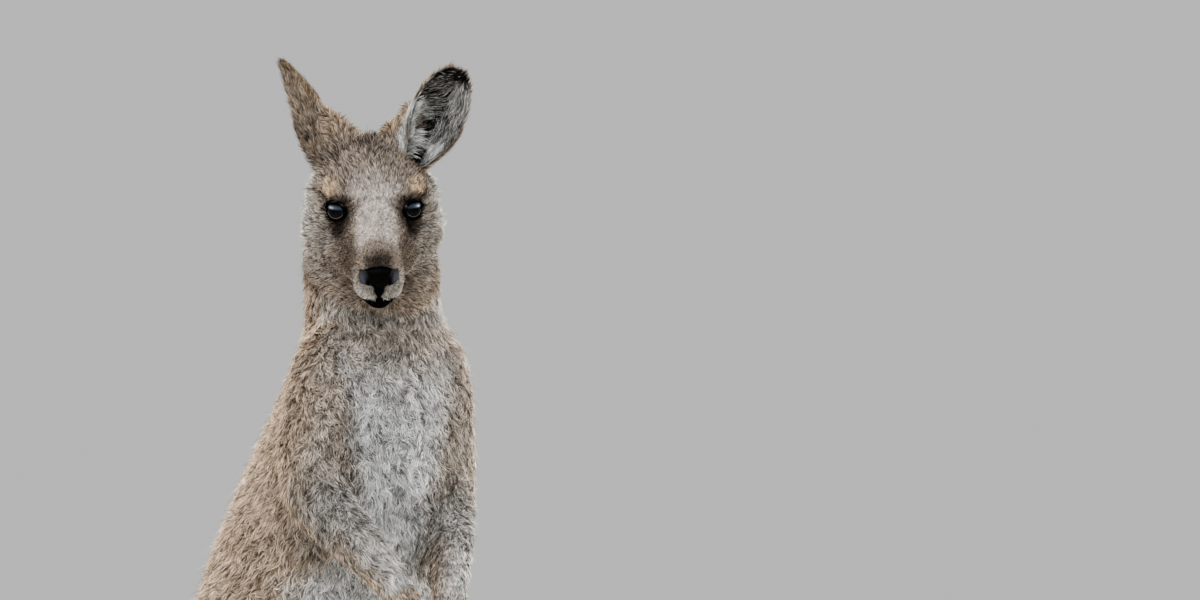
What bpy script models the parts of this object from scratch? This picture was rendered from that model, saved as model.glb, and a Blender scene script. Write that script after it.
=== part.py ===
"""A young eastern grey kangaroo, life size, sitting upright and looking to its right.

The body stands in a frame with +Z up and its nose towards -Y, so its left side is +X.
Soft forms are lofted from rings, fused and smoothed as one body, thinned to few faces,
and then parted into named pieces by thin cuts. Sizes in the tables are centimetres.
"""

import math

import bmesh
import bpy
from mathutils import Euler, Matrix, Vector

CM = 0.01
GAP = 0.0003          # clearance that parts two pieces
FOLD_GAP = 0.0006     # the same where a limb is parted from the trunk by a curved cut
FLOOR_SINK = 0.3      # how far soles and tail are modelled below the floor, then cut flat
BODY_TRIANGLES, HEAD_TRIANGLES = 2900, 1600
FOOT_TRIANGLES, HAND_TRIANGLES = 420, 400

# Driving sizes of the animal, in centimetres.
EYE_HEIGHT = 67.7     # floor to the middle between the eyes
EYE_FORWARD = 7.9     # that point, in front of the chest's middle
EYE_SIDE = -2.5       # and to the right of it, because the neck is turned
HEAD_TURN = -24.0     # degrees, to the animal's right
HEAD_NOD = 21.0       # degrees, nose down
HEAD_ROLL = -1.5      # degrees, left side a little higher
EYE_RADIUS = 1.2
EAR_BOW = 0.8         # how far an ear's back curves out between base and tip
FOOT_SPREAD = 7.0     # degrees that each foot points outwards
SIDES = {"right": -1.0, "left": 1.0}


def place(side, forward, up):
    """A point in metres from centimetres to the left, forward and up."""
    return Vector((side, -forward, up)) * CM


def clear_scene():
    for item in list(bpy.data.objects):
        bpy.data.objects.remove(item, do_unlink=True)


def material(name, colour, roughness):
    made = bpy.data.materials.get(name)
    if made:
        return made
    made = bpy.data.materials.new(name)
    made.use_nodes = True
    shader = made.node_tree.nodes["Principled BSDF"]
    shader.inputs["Base Color"].default_value = (*colour, 1.0)
    shader.inputs["Roughness"].default_value = roughness
    shader.inputs["Metallic"].default_value = 0.0
    return made


def new_object(name, mesh):
    made = bpy.data.objects.new(name, mesh)
    bpy.context.scene.collection.objects.link(made)
    return made


def object_from_bmesh(name, shape):
    bmesh.ops.recalc_face_normals(shape, faces=shape.faces)
    mesh = bpy.data.meshes.new(name)
    shape.to_mesh(mesh)
    shape.free()
    return new_object(name, mesh)


# ---------------------------------------------------------------- lofts


def catmull(before, start, end, after, t):
    """A value on the smooth curve through start and end."""
    return 0.5 * (
        2 * start
        + (end - before) * t
        + (2 * before - 5 * start + 4 * end - after) * t * t
        + (3 * start - before - 3 * end + after) * t * t * t
    )


def smoothed(rows, steps):
    """Rows of equal length, with steps - 1 new rows between each two of them."""
    found = []
    for i in range(len(rows) - 1):
        around = [rows[max(0, i - 1)], rows[i], rows[i + 1], rows[min(len(rows) - 1, i + 2)]]
        for step in range(steps):
            t = step / steps
            found.append([catmull(*values, t) for values in zip(*around)])
    found.append(list(rows[-1]))
    return found


def skin_rings(name, rings, crescents=False):
    """A closed body through rings of the same number of points.

    Its ends are one face each, or a row of faces across where the rings are crescents.
    """
    shape = bmesh.new()
    loops = [[shape.verts.new(point) for point in ring] for ring in rings]
    count = len(loops[0])
    for lower, upper in zip(loops, loops[1:]):
        for k in range(count):
            shape.faces.new((lower[k], lower[(k + 1) % count], upper[(k + 1) % count], upper[k]))
    for end in (loops[0], loops[-1]):
        if crescents:
            for k in range(count // 2 - 1):
                shape.faces.new((end[k], end[k + 1], end[count - 2 - k], end[count - 1 - k]))
        else:
            shape.faces.new(end)
    return object_from_bmesh(name, shape)


def limb(name, table, sides=20, steps=3):
    """A body along rows of side, forward, up, half width and half depth.

    The half width is measured across the animal, the half depth across the row's path.
    """
    rows = smoothed(table, steps)
    centres = [place(*row[:3]) for row in rows]
    rings = []
    for i, row in enumerate(rows):
        along = (centres[min(i + 1, len(rows) - 1)] - centres[max(i - 1, 0)]).normalized()
        across = (Vector((1, 0, 0)) - along * along.x).normalized()
        deep = along.cross(across)
        ring = []
        for k in range(sides):
            turn = 2 * math.pi * k / sides
            ring.append(
                centres[i]
                + across * (row[3] * CM * math.cos(turn))
                + deep * (row[4] * CM * math.sin(turn))
            )
        rings.append(ring)
    return skin_rings(name, rings)


def mirrored(table, side):
    """The table of a left limb, on the side asked for."""
    return [[row[0] * side, *row[1:]] for row in table]


# ---------------------------------------------------------------- modifiers as functions


def apply_modifiers(item):
    graph = bpy.context.evaluated_depsgraph_get()
    mesh = bpy.data.meshes.new_from_object(item.evaluated_get(graph))
    item.modifiers.clear()
    item.data = mesh
    return item


def joined(name, items):
    """One object with the meshes of all items, which are removed."""
    shape = bmesh.new()
    for item in items:
        part = item.data.copy()
        part.transform(item.matrix_world)
        shape.from_mesh(part)
        bpy.data.objects.remove(item, do_unlink=True)
    return object_from_bmesh(name, shape)


def fused(item, voxel, smoothing):
    """One closed surface round all that item holds, with its creases rounded."""
    remesh = item.modifiers.new("fuse", "REMESH")
    remesh.mode = "VOXEL"
    remesh.voxel_size = voxel
    smooth = item.modifiers.new("round_creases", "SMOOTH")
    smooth.factor = 0.5
    smooth.iterations = smoothing
    return apply_modifiers(item)


def thinned(item, triangles):
    """The same form in about that many triangles."""
    item.data.calc_loop_triangles()
    thin = item.modifiers.new("thin_out", "DECIMATE")
    thin.ratio = triangles / len(item.data.loop_triangles)
    thin.use_collapse_triangulate = True
    return apply_modifiers(item)


def combined(item, other, operation):
    cut = item.modifiers.new(operation.lower(), "BOOLEAN")
    cut.operation = operation
    cut.object = other
    cut.solver = "EXACT"
    bpy.context.view_layer.update()
    return apply_modifiers(item)


def grown(item, margin):
    """A copy of item, larger by margin on every side."""
    larger = new_object(item.name + "_grown", item.data.copy())
    larger.matrix_world = item.matrix_world.copy()
    normals = [vertex.normal.copy() for vertex in larger.data.vertices]
    for vertex, normal in zip(larger.data.vertices, normals):
        vertex.co += normal * margin
    return larger


def drop(*items):
    for item in items:
        bpy.data.objects.remove(item, do_unlink=True)


def trimmed(item, neighbour):
    """Item without what neighbour fills, and with the clearance between them."""
    cutter = grown(neighbour, GAP)
    combined(item, cutter, "DIFFERENCE")
    drop(cutter)
    return item


def without(item, cutter):
    """Item cut by cutter, which is removed."""
    combined(item, cutter, "DIFFERENCE")
    drop(cutter)
    return item


def block(name, low, high, frame=None):
    """A cutting box from its low and high corners, in metres, in a frame."""
    shape = bmesh.new()
    bmesh.ops.create_cube(shape, size=1.0)
    size = high - low
    for vertex in shape.verts:
        vertex.co = Vector(low[i] + (vertex.co[i] + 0.5) * size[i] for i in range(3))
    if frame:
        shape.transform(frame)
    return object_from_bmesh(name, shape)


def ball(name, centre, radii, turn=(0, 0, 0), finer=2):
    """An ellipsoid from its centre and radii in centimetres, and its turn in degrees."""
    shape = bmesh.new()
    bmesh.ops.create_icosphere(shape, subdivisions=finer, radius=1.0)
    frame = Matrix.Translation(place(*centre)) @ Euler(map(math.radians, turn)).to_matrix().to_4x4()
    shape.transform(frame @ Matrix.Diagonal((*[r * CM for r in radii], 1.0)))
    return object_from_bmesh(name, shape)


def parted(body, name, cutter, gap=GAP):
    """What of body lies in cutter, as its own piece. The body keeps the rest, past a clearance."""
    piece = new_object(name, body.data.copy())
    combined(piece, cutter, "INTERSECT")
    larger = grown(cutter, gap)
    combined(body, larger, "DIFFERENCE")
    drop(cutter, larger)
    return piece


def islands(item):
    """The separate bodies in item, as objects, largest first. Item itself is removed."""
    shape = bmesh.new()
    shape.from_mesh(item.data)
    shape.verts.ensure_lookup_table()
    seen, groups = [False] * len(shape.verts), []
    for start in shape.verts:
        if seen[start.index]:
            continue
        seen[start.index] = True
        group = [start]
        for vertex in group:
            for edge in vertex.link_edges:
                other = edge.other_vert(vertex)
                if not seen[other.index]:
                    seen[other.index] = True
                    group.append(other)
        groups.append(group)
    groups.sort(key=len, reverse=True)
    made = []
    for number, group in enumerate(groups):
        order = {vertex.index: k for k, vertex in enumerate(group)}
        faces = [
            [order[v.index] for v in face.verts] for face in shape.faces
            if face.verts[0].index in order
        ]
        mesh = bpy.data.meshes.new(f"{item.name}_{number}")
        mesh.from_pydata([v.co[:] for v in group], [], faces)
        made.append(new_object(mesh.name, mesh))
    shape.free()
    drop(item)
    return made


def largest(name, item):
    """Item without the crumbs that a cut may leave beside it."""
    first, *crumbs = islands(item)
    drop(*crumbs)
    first.name = name
    return first


# ---------------------------------------------------------------- body

# Rows: side, forward, up, half width, half depth. From the crown down to the tail's tip.
SPINE = [
    (-1.6, 4.4, 69.6, 2.4, 2.3),
    (-0.6, 3.1, 65.8, 4.8, 4.9),
    (-0.1, 2.9, 62.2, 5.1, 5.3),
    (0.1, 2.6, 58.8, 5.1, 5.6),
    (0.2, 2.2, 55.4, 5.8, 6.6),
    (0.1, 1.0, 51.4, 6.6, 7.9),
    (0.0, -1.6, 46.2, 7.4, 9.0),
    (0.0, -4.7, 40.6, 8.3, 10.1),
    (0.0, -8.0, 34.6, 8.9, 10.7),
    (0.0, -11.2, 28.8, 8.8, 10.3),
    (0.0, -14.0, 23.4, 7.8, 8.8),
    (0.0, -17.0, 18.8, 6.0, 6.5),
    (0.2, -20.6, 14.4, 4.5, 4.9),
    (0.5, -25.0, 9.8, 3.7, 3.9),
    (0.9, -30.0, 6.0, 3.2, 3.3),
    (1.5, -36.0, 3.4, 2.8, 2.9),
    (2.5, -43.0, 2.1, 2.4, 2.4),
    (3.9, -51.0, 1.65, 2.05, 2.0),
    (5.3, -59.0, 1.35, 1.75, 1.65),
    (6.2, -67.0, 1.1, 1.4, 1.35),
    (6.4, -73.0, 0.85, 1.0, 1.0),
    (6.3, -75.6, 0.7, 0.45, 0.5),
]
NECK_ROWS = 6             # of the spine's rows, those that the head's own form needs
THIGH = [
    (4.2, -17.0, 26.0, 2.2, 4.2),
    (5.2, -14.0, 27.2, 3.6, 7.6),
    (6.0, -10.0, 28.3, 4.4, 9.8),
    (6.8, -5.0, 28.6, 4.6, 9.8),
    (7.5, -0.5, 28.0, 4.3, 8.5),
    (8.0, 3.4, 26.8, 3.8, 6.6),
    (8.3, 6.4, 25.4, 3.1, 4.6),
    (8.4, 8.2, 24.4, 1.8, 2.4),
]
SHANK = [
    (8.3, 7.4, 26.4, 1.8, 2.4),
    (8.4, 5.6, 23.8, 2.9, 3.7),
    (8.3, 3.2, 21.4, 3.2, 4.3),
    (8.1, 0.0, 18.2, 3.1, 4.2),
    (7.8, -4.6, 14.2, 2.7, 3.6),
    (7.4, -9.2, 10.2, 2.1, 2.6),
    (7.0, -13.2, 6.8, 1.7, 2.0),
    (6.8, -15.8, 4.6, 1.6, 1.9),
    (6.7, -17.0, 3.0, 1.2, 1.3),
]
# The right arm reaches forward across the belly, and the left one hangs at the side.
ARMS = {
    "right": [
        (-3.6, 3.8, 58.2, 2.2, 2.4),
        (-4.6, 4.3, 55.4, 2.9, 3.4),
        (-5.4, 4.6, 52.0, 3.0, 3.5),
        (-6.0, 4.7, 49.0, 2.8, 3.2),
        (-6.3, 5.8, 46.4, 2.5, 2.8),
        (-5.3, 8.2, 44.0, 2.1, 2.3),
        (-3.7, 10.4, 41.5, 1.7, 1.85),
        (-2.4, 11.9, 39.4, 1.4, 1.5),
        (-1.8, 12.6, 38.2, 1.0, 1.0),
    ],
    "left": [
        (3.8, 3.0, 58.6, 2.2, 2.4),
        (4.9, 3.1, 55.8, 2.8, 3.3),
        (5.4, 3.0, 52.0, 2.8, 3.4),
        (5.7, 2.8, 48.6, 2.6, 3.0),
        (5.7, 3.9, 46.0, 2.3, 2.7),
        (4.7, 6.3, 43.4, 2.0, 2.2),
        (3.5, 8.7, 40.8, 1.65, 1.8),
        (2.5, 10.6, 38.6, 1.4, 1.5),
        (2.1, 11.4, 37.5, 1.0, 1.0),
    ],
}
WRIST_ROW = 7             # of the arm's rows, the one where the hand begins


def body_forms():
    """The rough forms of the trunk and limbs, before they are fused."""
    forms = [limb("spine", SPINE, sides=28)]
    for word, side in SIDES.items():
        forms.append(limb("thigh_" + word, mirrored(THIGH, side)))
        forms.append(limb("shank_" + word, mirrored(SHANK, side)))
        forms.append(limb("arm_" + word, ARMS[word]))
        shoulder = ARMS[word][1]
        blade = (shoulder[0] * 0.76, shoulder[1] - 2.2, 53.4)
        forms.append(ball("blade_" + word, blade, (3.0, 3.8, 5.2)))
        forms.append(ball("knee_" + word, (side * 8.3, 5.9, 25.4), (3.3, 3.9, 4.3)))
        forms.append(ball("flank_" + word, (side * 5.4, -3.2, 37.0), (3.6, 5.6, 6.5)))
    forms.append(ball("belly", (0, 0.0, 33.0), (6.6, 5.6, 10.0), (-18, 0, 0)))
    return forms


# ---------------------------------------------------------------- head

# Rows: forward of the eyes, half width, top, bottom, height of the widest level.
HEAD = [
    (-6.6, 3.0, 1.4, -3.2, -1.0),
    (-5.6, 4.3, 2.9, -4.5, -1.4),
    (-4.3, 4.95, 3.9, -5.2, -1.8),
    (-2.8, 5.15, 4.3, -5.5, -2.1),
    (-1.4, 4.9, 4.25, -5.5, -2.3),
    (0.0, 4.35, 3.8, -5.3, -2.4),
    (1.2, 3.65, 3.1, -5.1, -2.3),
    (2.4, 3.0, 2.25, -4.95, -2.3),
    (3.6, 2.5, 1.55, -4.9, -2.2),
    (4.8, 2.2, 0.9, -4.9, -2.2),
    (6.0, 2.05, 0.3, -5.0, -2.4),
    (7.0, 1.9, -0.3, -4.95, -2.6),
    (7.6, 1.5, -0.85, -4.5, -2.6),
    (7.95, 0.8, -1.6, -3.6, -2.6),
]
TOP_FULLNESS = 1.75      # exponent of a section's upper half: under 2 it narrows like a roof
BOTTOM_FULLNESS = 2.3    # and of its lower half
EYE_AT = (2.2, 0.58, 0.45)        # side, forward, up from the middle between the eyes
EYE_LOOKS = (0.56, 0.82, 0.12)     # the way that the left eye points
LIDS = (0.95, 0.56)                # half width and half height of the opening between the lids
SOCKET = 1.08                      # size of the coarser socket, as a share of the eye's
LID_RADIUS = 1.62                  # of the mound that the lids make over the eye
NOSE_AT, NOSE_RADII = (0.0, 7.4, -2.3), (1.5, 0.9, 1.3)
MOUTH_UP, MOUTH_SLOPE = -4.0, 4.0      # height of the lips' line, and its rise backwards in degrees
JAW_BACK = 1.8                         # how far back the lower jaw is parted, forward of the eyes
# Base and tip of each ear's back, and the way that it opens, in the head's own frame.
EARS = {
    "right": ((-1.9, -4.0, 2.4), (-6.5, -8.05, 9.4), (-0.91, -0.38, 0.2)),
    "left": ((2.7, -4.2, 2.2), (6.95, -7.6, 8.45), (0.22, 0.95, 0.3)),
}
# The fleshy root of each ear, along rows of side, forward, up, half width and half depth.
EAR_ROOTS = {
    "right": [
        (-1.0, -3.8, 1.0, 2.2, 2.2),
        (-1.9, -4.1, 3.0, 2.0, 1.9),
        (-2.9, -4.9, 4.6, 1.5, 1.3),
        (-3.9, -5.7, 6.2, 0.8, 0.7),
    ],
    "left": [
        (1.2, -4.0, 1.0, 2.2, 2.2),
        (1.9, -4.5, 3.0, 1.9, 1.7),
        (2.4, -5.5, 4.6, 1.4, 1.0),
        (3.2, -6.7, 6.4, 0.85, 0.6),
    ],
}
EAR_ROWS, EAR_COLUMNS = 11, 8
EAR_HALF_WIDTHS = (1.15, 2.25, 0.5)    # at the base, at the widest, and where along the ear that is
EAR_WRAPS = (138.0, 60.0, 25.0)        # degrees rolled to each side at the base, at OPEN_AT, at the tip
EAR_OPEN_AT = 0.75
EAR_THICK = (0.42, 0.26)               # at the base and at the tip
EAR_END = 0.985                        # share of the length where the blunt tip is closed
# Rounds and hollows: side, forward, up, radius, height.
SWELLS = [
    (3.5, 1.4, -0.3, 2.6, -0.42),      # hollow in front of the eye
    (3.2, -0.6, 1.7, 2.0, 0.22),       # brow
    (4.6, -1.6, -2.4, 3.2, 0.30),      # chewing muscle
    (1.5, 6.7, -3.4, 1.7, 0.16),       # upper lip
    (2.4, 4.2, -3.9, 1.8, -0.14),      # behind the lip
    (4.4, -4.4, 0.8, 2.6, 0.50),       # long hair behind the ear's root
    (0.0, 2.2, 2.4, 2.2, -0.06),       # stop between brow and nose, dented twice
]


def head_frame():
    turn = Matrix.Rotation(math.radians(HEAD_TURN), 4, "Z")
    nod = Matrix.Rotation(math.radians(HEAD_NOD), 4, "X")
    roll = Matrix.Rotation(math.radians(HEAD_ROLL), 4, "Y")
    return Matrix.Translation(place(EYE_SIDE, EYE_FORWARD, EYE_HEIGHT)) @ turn @ nod @ roll


def moved(item, frame):
    item.data.transform(frame)
    return item


def head_ring(row, sides):
    forward, half_width, top, bottom, widest = row
    ring = []
    for k in range(sides):
        turn = 2 * math.pi * k / sides
        c, s = math.cos(turn), math.sin(turn)
        power = 2 / (TOP_FULLNESS if s >= 0 else BOTTOM_FULLNESS)
        rise = (top - widest) if s >= 0 else (widest - bottom)
        side = math.copysign(abs(c) ** power, c) * half_width
        up = widest + math.copysign(abs(s) ** power, s) * rise
        ring.append(place(side, forward, up))
    return ring


def skull_form():
    rings = [head_ring(row, 32) for row in smoothed(HEAD, 3)]
    return moved(skin_rings("skull", rings), head_frame())


def lid_mounds():
    """The rounds that the lids make over both eyes."""
    rounds = [
        ball("mound", (EYE_AT[0] * side, *EYE_AT[1:]), (LID_RADIUS,) * 3)
        for side in SIDES.values()
    ]
    return [moved(item, head_frame()) for item in rounds]


def swell(item, centre, radius, height):
    """Raises the surface round a point of the head, or dents it where height is negative."""
    middle = head_frame() @ place(*centre)
    normals = [vertex.normal.copy() for vertex in item.data.vertices]
    for vertex, normal in zip(item.data.vertices, normals):
        near = 1 - ((vertex.co - middle).length / (radius * CM)) ** 2
        if near > 0:
            vertex.co += normal * (height * CM * near * near)


def whole_body():
    """Neck, trunk, tail, arms to the wrists and legs to the heels, as one smooth body."""
    forms = [*body_forms(), skull_form()]
    return thinned(fused(joined("body", forms), voxel=0.0035, smoothing=16), BODY_TRIANGLES)


def whole_head():
    """The head on its neck, with brows, sockets, cheeks and lips."""
    forms = [skull_form(), *lid_mounds(), limb("nape", SPINE[:NECK_ROWS], sides=28)]
    forms += [moved(limb("ear_root", rows), head_frame()) for rows in EAR_ROOTS.values()]
    form = fused(joined("head", forms), voxel=0.0022, smoothing=12)
    for side in SIDES.values():
        for across, forward, up, radius, height in SWELLS:
            swell(form, (side * across, forward, up), radius, height)
    return thinned(form, HEAD_TRIANGLES)


def ear_half_width(t):
    """Half width of the ear at a share of its length, widest near its middle."""
    base, widest, widest_at = EAR_HALF_WIDTHS
    if t < widest_at:
        return base + (widest - base) * math.sin(math.pi / 2 * t / widest_at)
    over = (t - widest_at) / (1 - widest_at)
    return widest * math.sqrt(max(0.0, 1 - over**2.3))


def ear_wrap(t):
    """How far, in radians, the ear is rolled to each side of its back at a share of its length."""
    base, opened, tip = EAR_WRAPS
    if t < EAR_OPEN_AT:
        return math.radians(base + (opened - base) * t / EAR_OPEN_AT)
    return math.radians(opened + (tip - opened) * (t - EAR_OPEN_AT) / (1 - EAR_OPEN_AT))


def ear(name, base, tip, opening):
    """A scoop of an ear, from its base and tip and the way that it opens, in the head's frame."""
    root, axis = place(*base), place(*tip) - place(*base)
    along = axis.normalized()
    face = place(*opening)
    face = (face - along * face.dot(along)).normalized()
    across = along.cross(face)
    loops = []
    for i in range(EAR_ROWS):
        t = min(EAR_END, 1 - (1 - i / (EAR_ROWS - 1)) ** 1.25)
        wrap = ear_wrap(t)
        radius = ear_half_width(t) / math.sin(min(wrap, math.pi / 2))
        thick = EAR_THICK[0] + (EAR_THICK[1] - EAR_THICK[0]) * t
        middle = root + axis * t - face * (EAR_BOW * CM * math.sin(math.pi * t))
        turns = [wrap * (2 * k / (EAR_COLUMNS - 1) - 1) for k in range(EAR_COLUMNS)]
        outline = [(radius, turn) for turn in turns]
        outline += [(max(radius - thick, 0.12), turn) for turn in reversed(turns)]
        loops.append(
            [
                middle
                + across * (r * math.sin(turn) * CM)
                + face * ((radius - r * math.cos(turn)) * CM)
                for r, turn in outline
            ]
        )
    return moved(skin_rings(name, loops, crescents=True), head_frame())


def lid_opening(side):
    """The almond that is cut through the skin in front of an eye."""
    looks = place(EYE_LOOKS[0] * side, *EYE_LOOKS[1:]).normalized()
    across = Vector((0, 0, 1)).cross(looks).normalized()
    frame = Matrix((across, looks, across.cross(looks))).transposed().to_4x4()
    frame.translation = place(EYE_AT[0] * side, *EYE_AT[1:]) + looks * EYE_RADIUS * CM
    shape = ball("lids", (0, 0, 0), (LIDS[0], 0.9, LIDS[1]), finer=3)
    return moved(moved(shape, frame), head_frame())


def head_pieces():
    """Head, lower jaw, nose, eyes and ears, apart from one another."""
    head = whole_head()
    made = {}
    for word, side in SIDES.items():
        eye = ball("eye_" + word, (EYE_AT[0] * side, *EYE_AT[1:]), (EYE_RADIUS,) * 3, finer=3)
        made["eye_" + word] = moved(eye, head_frame())
        ear_form = trimmed(ear("ear_" + word, *EARS[word]), head)
        made["ear_" + word] = largest("ear_" + word, ear_form)
    made["nose"] = moved(ball("nose", NOSE_AT, NOSE_RADII, (12, 0, 0)), head_frame())
    for word, side in SIDES.items():
        socket = ball("socket", (EYE_AT[0] * side, *EYE_AT[1:]), (EYE_RADIUS * SOCKET,) * 3)
        without(head, moved(socket, head_frame()))
        without(head, lid_opening(side))
    trimmed(head, made["nose"])
    below_lips = (
        head_frame()
        @ Matrix.Translation(place(0, 7.5, MOUTH_UP))
        @ Matrix.Rotation(math.radians(-MOUTH_SLOPE), 4, "X")
    )
    lips = block("lips", place(-4, 4, -6), place(4, JAW_BACK - 7.5, 0), below_lips)
    made["lower_jaw"] = parted(head, "lower_jaw", lips)
    made["head"] = head
    return made


# ---------------------------------------------------------------- feet and hands


def claw(name, root, tip, half_width, droop):
    """A curved, pointed claw from its root to its tip, in metres, bent by droop."""
    rings, steps, sides = [], 4, 5
    axis = tip - root
    across = axis.cross(Vector((0, 0, 1)))
    across = across.normalized() if across.length > 1e-6 else Vector((1, 0, 0))
    deep = across.cross(axis).normalized()
    for i in range(steps):
        t = i / (steps - 1)
        centre = root + axis * t + deep * (droop * math.sin(math.pi * t))
        r = half_width * (1 - 0.82 * t**1.3)
        turns = [2 * math.pi * k / sides for k in range(sides)]
        rings.append(
            [centre + across * (r * math.cos(u)) + deep * (r * 1.25 * math.sin(u)) for u in turns]
        )
    return skin_rings(name, rings)


# Rows: side from the foot's line, forward of the heel, up, half width, half height.
FOOT_HEEL = (6.7, -17.2)      # side and forward of the left heel
INSTEP = [
    (0.0, 0.0, 1.6, 0.9, 1.2),
    (0.0, 1.2, 1.75, 1.5, 1.9),
    (0.0, 4.0, 1.6, 1.65, 1.8),
    (0.1, 9.0, 1.35, 1.65, 1.55),
    (0.2, 14.0, 1.2, 1.6, 1.4),
    (0.2, 17.5, 1.05, 1.35, 1.3),
    (0.2, 20.5, 0.95, 1.2, 1.2),
    (0.2, 22.8, 0.85, 1.1, 1.1),
    (0.2, 23.9, 0.8, 0.7, 0.8),
]
FIFTH_TOE = [
    (1.0, 10.0, 1.1, 0.6, 0.9),
    (1.7, 14.0, 0.95, 0.8, 1.0),
    (2.1, 17.0, 0.8, 0.75, 0.95),
    (2.2, 19.0, 0.7, 0.65, 0.85),
    (2.2, 19.9, 0.65, 0.4, 0.55),
]
JOINED_TOES = [
    (-0.8, 10.0, 1.3, 0.5, 0.7),
    (-1.35, 14.0, 1.1, 0.6, 0.8),
    (-1.65, 17.0, 0.85, 0.6, 0.8),
    (-1.7, 18.6, 0.75, 0.6, 0.75),
    (-1.7, 19.3, 0.7, 0.35, 0.5),
]
# Rows: name, side, forward of the heel and up of the root, length, half width.
FOOT_CLAWS = [
    ("fourth", 0.2, 23.5, 0.75, 2.3, 0.42),
    ("fifth", 2.2, 19.6, 0.6, 1.5, 0.30),
    ("second", -1.95, 19.0, 0.65, 0.9, 0.17),
    ("third", -1.45, 19.0, 0.65, 0.9, 0.17),
]
ANKLE = ((7.15, -11.6, 8.2), 41.0)     # middle of the cut, and the shank's lean in degrees


def foot_frame(side):
    spread = Matrix.Rotation(math.radians(FOOT_SPREAD * side), 4, "Z")
    return Matrix.Translation(place(FOOT_HEEL[0] * side, FOOT_HEEL[1], 0)) @ spread


def ankle_frame(side):
    """At the ankle's cut, with its up along the shank towards the knee."""
    (across, forward, up), lean = ANKLE
    return Matrix.Translation(place(across * side, forward, up)) @ Matrix.Rotation(
        math.radians(90 - lean), 4, "X"
    )


def lowered(table, side):
    return [[row[0] * side, row[1], row[2] - FLOOR_SINK * 0.5, *row[3:]] for row in table]


def foot(word, side):
    """A long hind foot with its claws: big fourth toe, fifth outside, two joined toes inside."""
    rows = (INSTEP, FIFTH_TOE, JOINED_TOES)
    forms = [moved(limb("toe", lowered(table, side), sides=14), foot_frame(side)) for table in rows]
    forms.append(limb("shank", mirrored(SHANK, side)))
    sole = fused(joined("foot_" + word, forms), voxel=0.0022, smoothing=5)
    sole = thinned(sole, FOOT_TRIANGLES)
    low, high = Vector((-0.05, -0.04, 0)), Vector((0.05, 0.04, 0.3))
    without(sole, block("shank", low, high, ankle_frame(side)))
    claws = []
    for name, across, forward, up, length, half_width in FOOT_CLAWS:
        root = place(across * side, forward - 0.4, up)
        tip = place(across * side, forward + length, 0.18)
        made = claw(f"claw_{name}_toe_{word}", root, tip, half_width * CM, 0.10 * CM)
        claws.append(trimmed(moved(made, foot_frame(side)), sole))
    return [sole, *claws]


# Rows: name, how far out the finger starts (a share of the palm), length.
FINGERS = [
    ("first", -1.0, 1.7),
    ("second", -0.55, 2.2),
    ("third", 0.0, 2.4),
    ("fourth", 0.55, 2.2),
    ("fifth", 1.0, 1.7),
]
PALM = [
    (0, -1.6, 0, 1.15, 1.2),
    (0, 0.2, 0, 1.2, 1.15),
    (0, 1.6, 0, 1.35, 1.0),
    (0, 3.0, 0, 1.2, 0.75),
]
KNUCKLES = 2.2            # forward of the wrist
PALM_HALF_WIDTH = 0.97


def hand_frame(word):
    """At the wrist, with forward down the fingers, and the palm towards the belly."""
    wrist = place(*ARMS[word][WRIST_ROW][:3])
    along = (place(0.3, 0.35, -1.0) if word == "right" else place(-0.2, 0.4, -1.0)).normalized()
    across = (Vector((1, 0, 0)) - along * along.x).normalized()
    turn = Matrix((across, -along, across.cross(-along))).transposed().to_4x4()
    return Matrix.Translation(wrist) @ turn


def hand(word):
    """A forepaw with five fingers of nearly one length, and their claws."""
    forms, ends = [limb("palm", PALM, sides=14)], []
    for name, out, length in FINGERS:
        side, knuckle = out * PALM_HALF_WIDTH, KNUCKLES - 0.35 * abs(out)
        end = (side + out * 0.35, knuckle + length, -0.35)
        rows = [
            (side, knuckle, 0.0, 0.42, 0.5),
            (side + out * 0.25, knuckle + length * 0.6, 0.05, 0.42, 0.45),
            (*end, 0.34, 0.36),
        ]
        forms.append(limb("finger", rows, sides=10))
        ends.append((name, end, out))
    paw = fused(joined("hand_" + word, forms), voxel=0.0014, smoothing=3)
    paw = thinned(paw, HAND_TRIANGLES)
    moved(paw, hand_frame(word))
    low, high = Vector((-0.1, 0, -0.1)), Vector((0.1, 0.2, 0.1))
    without(paw, block("wrist", low, high, hand_frame(word)))
    claws = []
    for name, end, out in ends:
        root = place(end[0], end[1] - 0.25, end[2] + 0.05)
        tip = place(end[0] + out * 0.12, end[1] + 1.05, end[2] - 0.75)
        made = claw(f"claw_{name}_finger_{word}", root, tip, 0.2 * CM, 0.12 * CM)
        claws.append(trimmed(moved(made, hand_frame(word)), paw))
    return [paw, *claws]


# ---------------------------------------------------------------- parting

# The forms that part a thigh or an upper arm: side, forward, up, half width, half depth.
HAUNCH = [
    (8.6, -18.8, 27.0, 2.0, 3.0),
    (9.6, -15.5, 27.6, 4.6, 8.4),
    (9.9, -8.0, 28.4, 5.0, 11.4),
    (10.0, 0.0, 28.2, 5.2, 11.0),
    (9.8, 6.4, 27.0, 5.2, 8.4),
    (9.6, 12.4, 25.6, 2.5, 3.0),
]
HAUNCH_LEAN = 0.17                       # how much farther out its top is than its foot
UPPER_ARMS = {
    "right": [
        (-7.2, 4.4, 58.0, 2.2, 3.0),
        (-7.8, 4.8, 54.6, 4.1, 4.9),
        (-8.0, 5.2, 49.6, 4.6, 5.2),
        (-8.0, 6.4, 45.6, 4.6, 5.0),
        (-7.4, 9.2, 42.6, 4.2, 4.6),
    ],
    "left": [
        (7.2, 3.0, 58.0, 2.2, 3.0),
        (7.7, 3.4, 54.6, 4.2, 4.9),
        (7.8, 3.8, 49.6, 4.8, 5.4),
        (7.6, 5.2, 45.4, 5.0, 5.4),
        (6.6, 8.2, 41.8, 4.6, 4.8),
    ],
}
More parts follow.
